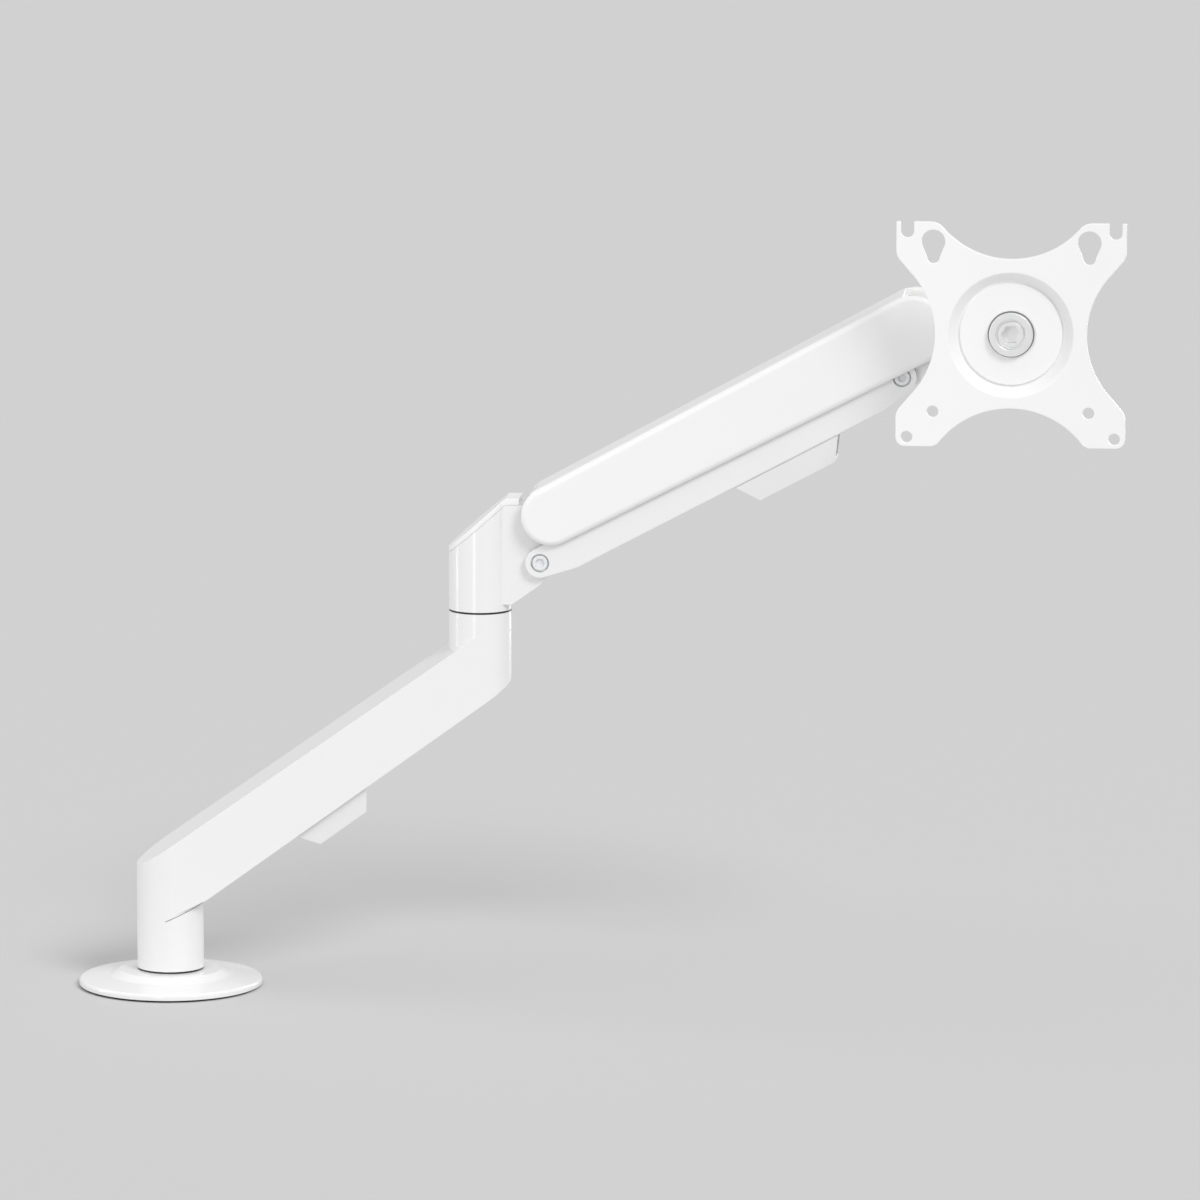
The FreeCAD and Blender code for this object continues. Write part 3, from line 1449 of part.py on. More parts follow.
# ---------------------------------------------------------------------------------------------
# Head: block on the parallelogram, swivel yoke, tilt block and the plate
# ---------------------------------------------------------------------------------------------
far_high = (-size("head_ahead"), -size("head_rise"))
far_low = (far_high[0] - size("pivot_step_along"), far_high[1] - size("pivot_step_up"))
barrel_half = size("barrel_tall") / 2
barrel_radius = size("barrel_dia") / 2
swivel_bore = size("swivel_bolt_dia") + run + size("swivel_bush_wall") * 2


def make_head_block():
    """Cheeks for the two far pivots, a neck, and the upright swivel barrel."""
    body = new_body("head_block", head)
    low_radius = size("low_boss_dia") / 2
    high_radius = size("high_boss_dia") / 2
    neck_low = -barrel_half + size("neck_inset")
    neck_high = far_high[1] + size("neck_top")
    side = sketch_on(body, "XZ_Plane")
    add_outline(side, [
        (far_low[0] - low_radius, far_low[1], low_radius),
        (far_low[0], far_low[1] - low_radius),
        (far_low[0] + low_radius, far_low[1] - low_radius / 2),
        (-barrel_radius, neck_low),
        (0, neck_low),
        (0, neck_high),
        (far_high[0] - size("neck_flat"), neck_high),
        (far_high[0] - high_radius, far_high[1]),
    ])
    pad(body, side, size("cheek_wide"), both_ways=True)
    boss = sketch_on(body, "XZ_Plane")
    add_circle(boss, far_high[0], far_high[1], size("high_boss_dia"))
    pad(body, boss, size("cheek_wide"), both_ways=True)
    barrel = sketch_on(body, "XY_Plane", -barrel_half)
    add_circle(barrel, 0, 0, size("barrel_dia"))
    pad(body, barrel, size("barrel_tall"))
    round_edges(body, is_barrel_rim, size("barrel_round"))
    bore = sketch_on(body, "XY_Plane")
    add_circle(bore, 0, 0, swivel_bore)
    pocket(body, bore, both_ways=True)
    bores = sketch_on(body, "XZ_Plane")
    add_circle(bores, far_high[0], far_high[1], size("hinge_bush_dia"))
    add_circle(bores, far_low[0], far_low[1], size("link_screw_dia"))
    pocket(body, bores, both_ways=True)
    slot_end = far_high[0] + size("hinge_bush_dia") / 2 + size("fork_end_room")
    slot = sketch_on(body, "XZ_Plane")
    add_outline(slot, [
        (far_low[0] - BEYOND, -BEYOND),
        (slot_end, -BEYOND),
        (slot_end, BEYOND),
        (far_low[0] - BEYOND, BEYOND),
    ])
    pocket(body, slot, size("cheek_slot"), both_ways=True)


def is_barrel_rim(edge):
    low = is_ring(edge, barrel_radius.number, -barrel_half.number)
    return low or is_ring(edge, barrel_radius.number, barrel_half.number)


def make_swivel_bushes():
    bushes = [
        ring(head, "z", swivel_bore, size("swivel_bolt_dia") + run, size("bush_long"), up=height)
        for height in (-barrel_half, barrel_half - size("bush_long"))
    ]
    keep(group(*bushes), "swivel_bushes")


washer_face = barrel_half + size("face_gap")
tab_face = washer_face + size("swivel_washer_thick")
tab_outside = tab_face + size("yoke_tab_thick")
upright_inside = barrel_radius + size("yoke_clear")
upright_outside = upright_inside + size("yoke_wall")
ear_inside = size("yoke_wide") / 2 - size("ear_thick")


def make_swivel_washers():
    outer = size("barrel_dia") - size("swivel_washer_inset") * 2
    washers = [
        ring(head, "z", outer, size("swivel_bolt_dia"), size("swivel_washer_thick"), up=height)
        for height in (-tab_face, washer_face)
    ]
    keep(group(*washers), "swivel_washers")


def make_swivel_yoke():
    """Tabs above and below the barrel, an upright before it, and two ears for the tilt bolt."""
    body = new_body("swivel_yoke", head)
    half = size("yoke_wide") / 2
    ahead = size("tilt_ahead")
    ear_radius = size("ear_dia") / 2
    plan = sketch_on(body, "XY_Plane", -tab_outside)
    add_outline(plan, [
        (-half, -upright_outside),
        (half, -upright_outside),
        (half, 0, half),
        (0, half, half),
        (-half, 0),
    ])
    pad(body, plan, tab_outside * 2)
    inside = sketch_on(body, "YZ_Plane")
    add_outline(inside, [
        (-upright_inside, -tab_face),
        (half + PROUD, -tab_face),
        (half + PROUD, tab_face),
        (-upright_inside, tab_face),
    ])
    pocket(body, inside, both_ways=True)
    ears = sketch_on(body, "YZ_Plane")
    add_outline(ears, [
        (-upright_inside, -ear_radius),
        (-upright_inside, ear_radius),
        (-ahead, ear_radius, ear_radius),
        (-ahead - ear_radius, 0, ear_radius),
        (-ahead, -ear_radius),
    ])
    pad(body, ears, size("yoke_wide"), both_ways=True)
    gap = sketch_on(body, "XY_Plane")
    gap_front = -ahead - ear_radius - PROUD
    add_outline(gap, [
        (-ear_inside, -upright_outside),
        (ear_inside, -upright_outside),
        (ear_inside, gap_front),
        (-ear_inside, gap_front),
    ])
    pocket(body, gap, size("ear_dia") * 2, both_ways=True)
    pin = sketch_on(body, "YZ_Plane")
    add_circle(pin, -ahead, 0, size("tilt_bolt_dia"))
    pocket(body, pin, both_ways=True)
    bolt = sketch_on(body, "XY_Plane")
    add_circle(bolt, 0, 0, size("swivel_bolt_dia"))
    pocket(body, bolt, both_ways=True)


def make_swivel_bolt():
    """The swivel bolt with its round head on the upper tab, and the nut under the lower tab."""
    dia = size("swivel_bolt_dia")
    head_thick = size("swivel_head_thick")
    nut_thick = size("swivel_nut_thick")
    deep = size("swivel_hex_deep")
    low = -tab_outside - nut_thick
    shank = rod(head, "z", dia, tab_outside - low, up=low)
    cap = rod(head, "z", size("swivel_head_dia"), head_thick, up=tab_outside)
    socket = hexagon(head, "z", size("swivel_hex"), deep, up=tab_outside + head_thick - deep)
    keep(cut(fuse(shank, cap), socket), "swivel_bolt")
    nut = hexagon(head, "z", size("swivel_nut_flats"), nut_thick, up=low)
    keep(cut(nut, rod(head, "z", dia, nut_thick, up=low)), "swivel_nut")


block_half = ear_inside - size("tilt_washer_thick") - size("face_gap")
tilt = Frame(head.point(0, -size("tilt_ahead"), 0))


def make_tilt_bolt():
    """The tilt bolt across both ears, its nut, and a washer on each side of the tilt block."""
    half = size("yoke_wide") / 2
    dia = size("tilt_bolt_dia")
    head_thick = size("tilt_head_thick")
    nut_thick = size("tilt_nut_thick")
    washer_thick = size("tilt_washer_thick")
    shank = rod(tilt, "x", dia, half * 2 + nut_thick, -half)
    cap = rod(tilt, "x", size("tilt_head_dia"), head_thick, -half - head_thick)
    socket = hexagon(tilt, "x", size("tilt_hex"), size("tilt_hex_deep"), -half - head_thick)
    keep(cut(fuse(shank, cap), socket), "tilt_bolt")
    nut = hexagon(tilt, "x", size("tilt_head_dia"), nut_thick, half)
    keep(cut(nut, rod(tilt, "x", dia, nut_thick, half)), "tilt_nut")
    washers = [
        ring(tilt, "x", size("tilt_washer_dia"), dia, washer_thick, start)
        for start in (-ear_inside, ear_inside - washer_thick)
    ]
    keep(group(*washers), "tilt_washers")


def make_tilt_block():
    """Turns on the tilt bolt; its round flange carries the plate."""
    body = new_body("tilt_block", tilt)
    hub = size("tilt_hub_dia") / 2
    face = size("tilt_face")
    flange_back = face - size("tilt_flange_thick")
    side = sketch_on(body, "YZ_Plane")
    add_outline(side, [
        (0, -hub, hub),
        (hub, 0, hub),
        (0, hub),
        (-flange_back, hub),
        (-flange_back, -hub),
    ])
    pad(body, side, block_half * 2, both_ways=True)
    flange = sketch_on(body, "XZ_Plane", flange_back)
    add_circle(flange, 0, 0, size("tilt_flange_dia"))
    pad(body, flange, size("tilt_flange_thick"))
    bore = sketch_on(body, "YZ_Plane")
    add_circle(bore, 0, 0, size("tilt_bolt_dia") + run)
    pocket(body, bore, both_ways=True)
    shank = sketch_on(body, "XZ_Plane", face)
    add_circle(shank, 0, 0, size("centre_shank_dia"))
    pocket(body, shank, face - size("centre_shank_stop"))


plate_washer_thick = size("plate_washer_thick")
floor_back = size("tilt_face") + plate_washer_thick + size("face_gap")
floor_front = floor_back + size("plate_thick")
plate_back = floor_back + size("dish_deep")
plate_front = plate_back + size("plate_thick")
disc_back = floor_front + size("face_gap")
disc_front = disc_back + size("disc_thick")


def make_plate_washer():
    washer = ring(tilt, "y", size("tilt_flange_dia"), size("centre_shank_dia"),
                  plate_washer_thick, across=-size("tilt_face") - plate_washer_thick)
    keep(washer, "plate_washer")


def plate_outline():
    """The plate's edge, anticlockwise from the lower right corner's side."""
    wide = size("plate_half_wide")
    tall = size("plate_half_tall")
    shoulder = size("shoulder_height")
    reach = size("shoulder_reach")
    step = size("shoulder_step")
    bite = size("bite_radius")
    half = size("outer_pattern") / 2
    hook = size("hook_wide") / 2
    corner = size("corner_round")
    top_meet = root(bite * bite - (size("bite_centre") - tall) * (size("bite_centre") - tall))
    low_meet = top_meet + size("bite_flare")
    flare_top = -tall + size("bite_flare_up")
    return [
        (wide, -tall + corner),
        (wide, -shoulder),
        (reach, -step, -bite),
        (reach, step),
        (wide, shoulder),
        (wide, tall),
        (half + hook, tall),
        (half + hook, half, -hook),
        (half - hook, half),
        (half - hook, tall),
        (top_meet, tall, -bite),
        (-top_meet, tall),
        (-half + hook, tall),
        (-half + hook, half, -hook),
        (-half - hook, half),
        (-half - hook, tall),
        (-wide, tall),
        (-wide, shoulder),
        (-reach, step, -bite),
        (-reach, -step),
        (-wide, -shoulder),
        (-wide, -tall + corner, corner),
        (-wide + corner, -tall),
        (-low_meet, -tall),
        (-top_meet, flare_top, -bite),
        (top_meet, flare_top),
        (low_meet, -tall),
        (wide - corner, -tall, corner),
    ]


def is_through_sheet(edge):
    """True for a straight edge through the plate's sheet."""
    box = edge.BoundBox
    return box.XLength < 1e-4 and box.ZLength < 1e-4


def is_shoulder_edge(edge):
    """True where an upright side of the plate meets its shoulder."""
    box = edge.BoundBox
    at_side = abs(abs(box.XMin) - size("plate_half_wide").number) < 1e-3
    at_shoulder = abs(abs(box.ZMin) - size("shoulder_height").number) < 1e-3
    return is_through_sheet(edge) and at_side and at_shoulder


def is_hollow_end_edge(edge):
    """True where the plate's top side meets the upper hollow."""
    box = edge.BoundBox
    half = (size("outer_pattern").number - size("hook_wide").number) / 2
    at_top = abs(box.ZMin - size("plate_half_tall").number) < 1e-3
    return is_through_sheet(edge) and at_top and abs(box.XMin) < half - 1


def make_plate():
    """The sheet with its four hollows, then the dish, the keyholes and the round holes."""
    body = new_body("vesa_plate", tilt)
    thick = size("plate_thick")
    rim = size("dish_dia") / 2
    floor = size("dish_floor_dia") / 2
    middle_of_sheet = plate_back + thick / 2
    blank = sketch_on(body, "XZ_Plane", plate_back)
    add_outline(blank, plate_outline())
    pad(body, blank, thick)
    round_edges(body, is_shoulder_edge, size("shoulder_round"))
    round_edges(body, is_hollow_end_edge, size("hollow_round"))
    boss = sketch_on(body, "YZ_Plane")
    add_outline(boss, [
        (-floor_back, 0),
        (-floor_back, floor + thick),
        (-middle_of_sheet, rim + thick),
        (-middle_of_sheet, 0),
    ])
    revolve(body, boss, axis="H_Axis")
    dish = sketch_on(body, "YZ_Plane")
    add_outline(dish, [
        (-floor_front, 0),
        (-floor_front, floor),
        (-plate_front, rim),
        (-plate_front - PROUD, rim),
        (-plate_front - PROUD, 0),
    ])
    revolve(body, dish, "Groove", "H_Axis")
    shank = sketch_on(body, "XZ_Plane")
    add_circle(shank, 0, 0, size("centre_shank_dia") + run)
    pocket(body, shank, both_ways=True)
    make_plate_holes(body)


def make_plate_holes(body):
    inner = size("inner_pattern") / 2
    outer = size("outer_pattern") / 2
    rounds = sketch_on(body, "XZ_Plane")
    for side in (-1, 1):
        add_circle(rounds, inner * side, -inner, size("plate_hole_dia"))
        add_circle(rounds, outer * side, -outer, size("plate_hole_dia"))
    pocket(body, rounds, both_ways=True)
    for side in (-1, 1):
        wide_end = sketch_on(body, "XZ_Plane")
        add_circle(wide_end, inner * side, inner + size("keyhole_rise"), size("keyhole_dia"))
        pocket(body, wide_end, both_ways=True)
        neck = sketch_on(body, "XZ_Plane")
        add_outline(neck, keyhole_neck(inner * side, inner))
        pocket(body, neck, both_ways=True)


def keyhole_neck(x, z):
    """A round bottom whose sides widen up to the keyhole's wide end."""
    half = size("keyhole_neck") / 2
    wide = size("keyhole_dia") / 2
    reach = wide * cosine(size("keyhole_meet"))
    meet = z + size("keyhole_rise") - wide * sine(size("keyhole_meet"))
    return [
        (x - half, z, half),
        (x, z - half, half),
        (x + half, z),
        (x + reach, meet),
        (x - reach, meet),
    ]


def make_friction_disc():
    disc = ring(tilt, "y", size("disc_dia"), size("centre_shank_dia"), size("disc_thick"),
                across=-disc_front)
    keep(disc, "friction_disc")


def make_centre_bolt():
    """A flat round head with a recess, and a ring round its hexagon socket in that recess."""
    front = disc_front + size("centre_head_thick")
    recess = size("centre_recess_deep")
    drop = size("centre_ring_drop")
    length = disc_front - size("centre_shank_stop")
    shank = rod(tilt, "y", size("centre_shank_dia"), length, across=-disc_front)
    cap = rod(tilt, "y", size("centre_head_dia"), size("centre_head_thick"), across=-front)
    hollow = rod(tilt, "y", size("centre_recess_dia"), recess, across=-front)
    boss = rod(tilt, "y", size("centre_ring_dia"), recess - drop, across=-front + drop)
    socket = hexagon(tilt, "y", size("centre_hex"), size("centre_hex_deep"), across=-front)
    keep(cut(fuse(cut(fuse(shank, cap), hollow), boss), socket), "centre_bolt")


# ---------------------------------------------------------------------------------------------
# Build everything, check it, and write one file per node
# ---------------------------------------------------------------------------------------------
def build():
    make_base_pad()
    make_base_flange()
    make_post_spindle()
    make_foot_screws()
    make_post_washer()
    make_lower_arm()
    make_post_bushes()
    make_elbow_bushes()
    make_grub_screws()
    make_elbow_washer()
    make_lower_clip()
    make_elbow_spindle()
    make_knuckle()
    make_knuckle_cap()
    hinge_bushes("lower_hinge_bushes", elbow, high_pivot[0], high_pivot[1])
    link_screws("lower_link_screws", elbow, low_pivot[0], low_pivot[1])
    make_cross_nut()
    make_adjuster_screw()
    make_arm_frame()
    make_arm_cover()
    stub_pins("lower_stub_pins", 0)
    stub_pins("upper_stub_pins", arm_length)
    make_gas_cylinder()
    make_spring_anchor()
    make_gas_guide()
    make_piston_rod()
    make_rod_fork()
    make_lower_link()
    make_upper_clip()
    make_head_block()
    hinge_bushes("upper_hinge_bushes", head, far_high[0], far_high[1])
    link_screws("upper_link_screws", head, far_low[0], far_low[1])
    make_swivel_bushes()
    make_swivel_washers()
    make_swivel_yoke()
    make_swivel_bolt()
    make_tilt_bolt()
    make_tilt_block()
    make_plate_washer()
    make_plate()
    make_friction_disc()
    make_centre_bolt()
    document.recompute()


def check_objects():
    for thing in document.Objects:
        if "Invalid" in thing.State or "Error" in thing.State:
            raise ValueError(f"{thing.Name} ({thing.Label}) is {thing.State}")
    for node in nodes:
        if node.Shape.isNull() or not node.Shape.isValid():
            raise ValueError(f"{node.Label} has no valid shape")


def write_nodes():
    os.makedirs("parts", exist_ok=True)
    for node in nodes:
        node.Shape.exportStep(f"parts/{node.Label}.step")
        print(f"{node.Label}: {len(node.Shape.Solids)} solid(s), {node.Shape.Volume:.0f} mm3")


build()
check_objects()
write_nodes()
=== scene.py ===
"""Looks of the monitor arm: finishes, softened edges, three small pieces of painted shade, floor,
light, camera.
"""

import logging
import math
from dataclasses import dataclass, field
from enum import Enum

import bmesh
import bpy
from mathutils import Matrix, Vector


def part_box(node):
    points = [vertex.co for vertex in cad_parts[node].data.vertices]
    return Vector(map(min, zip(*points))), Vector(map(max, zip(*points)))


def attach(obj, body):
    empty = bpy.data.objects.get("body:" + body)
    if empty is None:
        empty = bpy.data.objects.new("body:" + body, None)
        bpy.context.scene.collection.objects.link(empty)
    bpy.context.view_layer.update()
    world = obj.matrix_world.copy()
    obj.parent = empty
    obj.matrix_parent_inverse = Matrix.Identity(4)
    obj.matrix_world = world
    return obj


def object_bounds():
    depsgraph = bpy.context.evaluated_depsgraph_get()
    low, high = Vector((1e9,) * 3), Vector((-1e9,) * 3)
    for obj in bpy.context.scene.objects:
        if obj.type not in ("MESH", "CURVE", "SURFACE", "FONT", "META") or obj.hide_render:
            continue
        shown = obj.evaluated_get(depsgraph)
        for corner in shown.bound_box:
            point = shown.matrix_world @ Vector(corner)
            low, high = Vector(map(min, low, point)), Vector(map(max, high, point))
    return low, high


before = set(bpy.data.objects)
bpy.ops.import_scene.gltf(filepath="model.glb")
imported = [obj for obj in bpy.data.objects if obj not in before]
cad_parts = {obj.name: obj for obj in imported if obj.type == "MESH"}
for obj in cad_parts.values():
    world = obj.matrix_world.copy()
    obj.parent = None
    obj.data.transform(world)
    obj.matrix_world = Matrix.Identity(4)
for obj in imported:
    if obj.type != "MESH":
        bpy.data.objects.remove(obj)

MM = 0.001
NOISE_ROUGHNESS = 0.55
PIT_SMOOTHNESS = 0.6
DRIFT_DETAIL = 2.0
RIPPLE_DETAIL = 1.0
SCRATCH_DETAIL = 6.0
BUMP_STRENGTH = 1.0
# Sockets of the mix node when it mixes colours, which share their names with its other sockets.
MIX_FACTOR = 0
MIX_FIRST_COLOUR = 6
MIX_SECOND_COLOUR = 7
MIX_COLOUR_RESULT = 2
cad_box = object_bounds()
log = logging.getLogger("monitor_arm")


# ---------------------------------------------------------------- shader helpers


def linear(hex_colour: str) -> tuple[float, float, float, float]:
    """Turns an sRGB hex colour to linear.

    Args:
        hex_colour: colour such as "#F2F2F1".

    Returns:
        Linear red, green and blue, and an alpha of 1.
    """
    channels = [int(hex_colour[i : i + 2], 16) / 255 for i in (1, 3, 5)]
    light = [c / 12.92 if c <= 0.04045 else ((c + 0.055) / 1.055) ** 2.4 for c in channels]
    return (light[0], light[1], light[2], 1.0)


def per_mm(size_mm: float) -> float:
    """Gives the texture scale at which one feature is size_mm across on a mesh in metres."""
    return 1.0 / (size_mm * MM)


def add_node(
    tree: bpy.types.NodeTree,
    kind: str,
    settings: dict[str, object] | None = None,
    values: dict[str | int, object] | None = None,
    links: dict[str | int, bpy.types.NodeSocket] | None = None,
) -> bpy.types.Node:
    """Adds one node with its settings and links.

    Args:
        tree: node tree that it goes into.
        kind: the node's type name.
        settings: properties of the node itself.
        values: values of its unlinked inputs, by name or number.
        links: output sockets that feed its inputs, by input name or number.

    Returns:
        The new node.
    """
    node = tree.nodes.new(kind)
    for name, value in (settings or {}).items():
        setattr(node, name, value)
    for name, value in (values or {}).items():
        node.inputs[name].default_value = value
    for name, socket in (links or {}).items():
        tree.links.new(socket, node.inputs[name])
    return node


# ---------------------------------------------------------------- finishes


class Grain(Enum):
    """Kinds of surface relief."""

    ORANGE_PEEL = "the soft ripple of a sprayed and baked coat"
    SPARK_ERODED = "the fine even pitting that a textured mould leaves"
    TUMBLED = "the fine scratches left by turning and tumbling"


@dataclass(frozen=True)
class Finish:
    """One real material and how its surface was made.

    The colour drifts between two close shades over colour_drift_mm. A bump of relief_mm has
    features of grain_mm, and the roughness follows it between two values.
    """

    name: str
    shade: str
    second_shade: str
    roughness: tuple[float, float]
    grain: Grain
    grain_mm: float
    relief_mm: float
    colour_drift_mm: float = 30.0
    metallic: float = 0.0
    ior: float = 1.5

    def noise(
        self, tree: bpy.types.NodeTree, size_mm: float, detail: float, place: bpy.types.NodeSocket
    ) -> bpy.types.NodeSocket:
        """Adds a noise of a real size.

        Args:
            tree: the material's node tree.
            size_mm: width of one feature.
            detail: how many finer layers it has.
            place: coordinates in metres on the piece.

        Returns:
            The noise's value socket.
        """
        values = {"Scale": per_mm(size_mm), "Detail": detail, "Roughness": NOISE_ROUGHNESS}
        noise = add_node(tree, "ShaderNodeTexNoise", values=values, links={"Vector": place})
        return noise.outputs["Fac"]

    def relief(self, tree: bpy.types.NodeTree, place: bpy.types.NodeSocket) -> bpy.types.NodeSocket:
        """Adds the surface's height pattern.

        Args:
            tree: the material's node tree.
            place: coordinates in metres on the piece.

        Returns:
            Height, from 0 to 1.
        """
        if self.grain is Grain.ORANGE_PEEL:
            return self.noise(tree, self.grain_mm, RIPPLE_DETAIL, place)
        if self.grain is Grain.SPARK_ERODED:
            settings = {"feature": "SMOOTH_F1"}
            values = {"Scale": per_mm(self.grain_mm), "Smoothness": PIT_SMOOTHNESS}
            pits = add_node(tree, "ShaderNodeTexVoronoi", settings, values, {"Vector": place})
            return pits.outputs["Distance"]
        return self.noise(tree, self.grain_mm, SCRATCH_DETAIL, place)

    def build(self) -> bpy.types.Material:
        """Makes the node material.

        Returns:
            The material, made once and reused after that.
        """
        made = bpy.data.materials.get(self.name)
        if made:
            return made
        material = bpy.data.materials.new(self.name)
        material.use_nodes = True
        tree = material.node_tree
        tree.nodes.clear()
        place = add_node(tree, "ShaderNodeTexCoord").outputs["Object"]
        drift = self.noise(tree, self.colour_drift_mm, DRIFT_DETAIL, place)
        colour = add_node(
            tree,
            "ShaderNodeMix",
            {"data_type": "RGBA"},
            {MIX_FIRST_COLOUR: linear(self.shade), MIX_SECOND_COLOUR: linear(self.second_shade)},
            {MIX_FACTOR: drift},
        )
        height = self.relief(tree, place)
        gloss = add_node(
            tree,
            "ShaderNodeMapRange",
            values={"To Min": self.roughness[0], "To Max": self.roughness[1]},
            links={"Value": height},
        )
        bump = add_node(
            tree,
            "ShaderNodeBump",
            values={"Strength": BUMP_STRENGTH, "Distance": self.relief_mm * MM},
            links={"Height": height},
        )
        shader = add_node(
            tree,
            "ShaderNodeBsdfPrincipled",
            values={"Metallic": self.metallic, "IOR": self.ior},
            links={
                "Base Color": colour.outputs[MIX_COLOUR_RESULT],
                "Roughness": gloss.outputs["Result"],
                "Normal": bump.outputs["Normal"],
            },
        )
        add_node(tree, "ShaderNodeOutputMaterial", links={"Surface": shader.outputs["BSDF"]})
        material.diffuse_color = linear(self.shade)
        return material


# Polyester powder sprayed and baked on die-cast aluminium: a satin white whose faint ripple
# breaks highlights. The ripple is about 1 mm across on the real coat, drawn at 1.6 mm so that
# it shows.
POWDER_COATED_CASTING = Finish(
    "powder_coated_aluminium_casting", "#F0F0F0", "#EEEEEE", (0.17, 0.23),
    Grain.ORANGE_PEEL, 1.6, 0.0015,
)
# The same powder on pressed steel sheet: a little duller, with a slightly coarser ripple.
POWDER_COATED_SHEET = Finish(
    "powder_coated_steel_sheet", "#FAFAFA", "#F8F8F8", (0.3, 0.38), Grain.ORANGE_PEEL, 1.8, 0.003
)
# Injection-moulded ABS from a spark-eroded mould: an even, slightly softer white without ripple.
# Its pits are about 0.2 mm across, drawn at 0.7 mm so that they show.
MOULDED_ABS = Finish(
    "moulded_abs", "#F4F4F4", "#F2F2F2", (0.34, 0.42), Grain.SPARK_ERODED, 0.7, 0.003
)
# Injection-moulded nylon of the snap-on clips: white with a faint grey cast and a softer shine.
MOULDED_NYLON = Finish(
    "moulded_white_nylon", "#EEEEEE", "#ECECEC", (0.42, 0.5), Grain.SPARK_ERODED, 0.7, 0.004
)
# Injection-moulded black acetal sliding washers: near black with a waxy sheen.
BLACK_ACETAL = Finish(
    "moulded_black_acetal", "#2B2C2D", "#252627", (0.3, 0.4),
    Grain.SPARK_ERODED, 0.7, 0.003, ior=1.48,
)
# Natural acetal bushes turned from rod: milky cream with a waxy sheen.
NATURAL_ACETAL = Finish(
    "turned_natural_acetal", "#E8E4D8", "#E2DDCF", (0.32, 0.42),
    Grain.TUMBLED, 0.8, 0.003, ior=1.48,
)
# Turned carbon steel: mid-grey metal with fine tool marks that blur its highlights.
TURNED_STEEL = Finish(
    "turned_steel", "#B9BBBD", "#AEB1B4", (0.26, 0.4), Grain.TUMBLED, 0.6, 0.003, 12.0, metallic=1.0
)
# Zinc-plated and passivated steel: brighter and cooler than bare steel, softly mirror-like.
ZINC_PLATED_STEEL = Finish(
    "zinc_plated_steel", "#E4E6E8", "#D6D9DC", (0.16, 0.26),
    Grain.TUMBLED, 0.9, 0.0006, 9.0, metallic=1.0,
)
# Satin nickel-plated steel of the centre bolt: a pale metal blurred almost to white.
SATIN_NICKEL_STEEL = Finish(
    "satin_nickel_plated_steel", "#FBFBFB", "#F5F5F6", (0.4, 0.5),
    Grain.TUMBLED, 0.9, 0.001, 9.0, metallic=1.0,
)
# White baked enamel on the small screws: white with a tight highlight round the socket.
ENAMELLED_SCREW = Finish(
    "white_enamelled_screw", "#EDEEF0", "#E6E8EA", (0.2, 0.28), Grain.ORANGE_PEEL, 1.2, 0.001
)
# Black-oxide steel of socket screws: dark blue-grey metal, oily and low in shine.
BLACK_OXIDE_STEEL = Finish(
    "black_oxide_steel", "#3A3C40", "#303236", (0.38, 0.52),
    Grain.TUMBLED, 0.6, 0.003, 10.0, metallic=1.0,
)
# Hard-chromed and ground piston rod: the shiniest metal on the arm.
CHROMED_STEEL = Finish(
    "hard_chromed_steel", "#DDDFE2", "#D5D8DB", (0.1, 0.16),
    Grain.TUMBLED, 0.5, 0.001, 15.0, metallic=1.0,
)
# Satin black enamel baked on the gas cylinder: deep black with a broad soft highlight.
SATIN_BLACK_ENAMEL = Finish(
    "satin_black_enamel", "#1D1E1F", "#18191A", (0.3, 0.4), Grain.ORANGE_PEEL, 1.6, 0.005
)
# Moulded EPDM rubber pad: dull dark grey with no highlight.
MOULDED_EPDM = Finish(
    "moulded_epdm_rubber", "#232323", "#1C1C1C", (0.75, 0.88),
    Grain.SPARK_ERODED, 0.8, 0.02, ior=1.52,
)
# Painted shade: a dull grey ring with no shine round the centre bolt's head, standing for the
# shadow in the groove where the head meets the disc.
PAINTED_BOLT_SHADE = Finish(
    "painted_bolt_shade_grey", "#7C7D7E", "#747576", (0.55, 0.65),
    Grain.SPARK_ERODED, 0.6, 0.004, ior=1.52,
)
# Painted shade: a thin mid-grey bead with no shine, laid in the joint under the beam to stand for
# the shadow in the gap where the beam overhangs the post tube.
PAINTED_HEEL_SHADE = Finish(
    "painted_heel_shade_grey", "#8C8C8C", "#848484", (0.6, 0.7), Grain.ORANGE_PEEL, 1.0, 0.004
)
# Matt pale studio floor paper: even light grey.
STUDIO_PAPER = Finish(
    "studio_paper", "#DEDEDE", "#DDDDDD", (0.9, 0.95), Grain.ORANGE_PEEL, 3.0, 0.001, 900.0
)


# ---------------------------------------------------------------- sub-assemblies


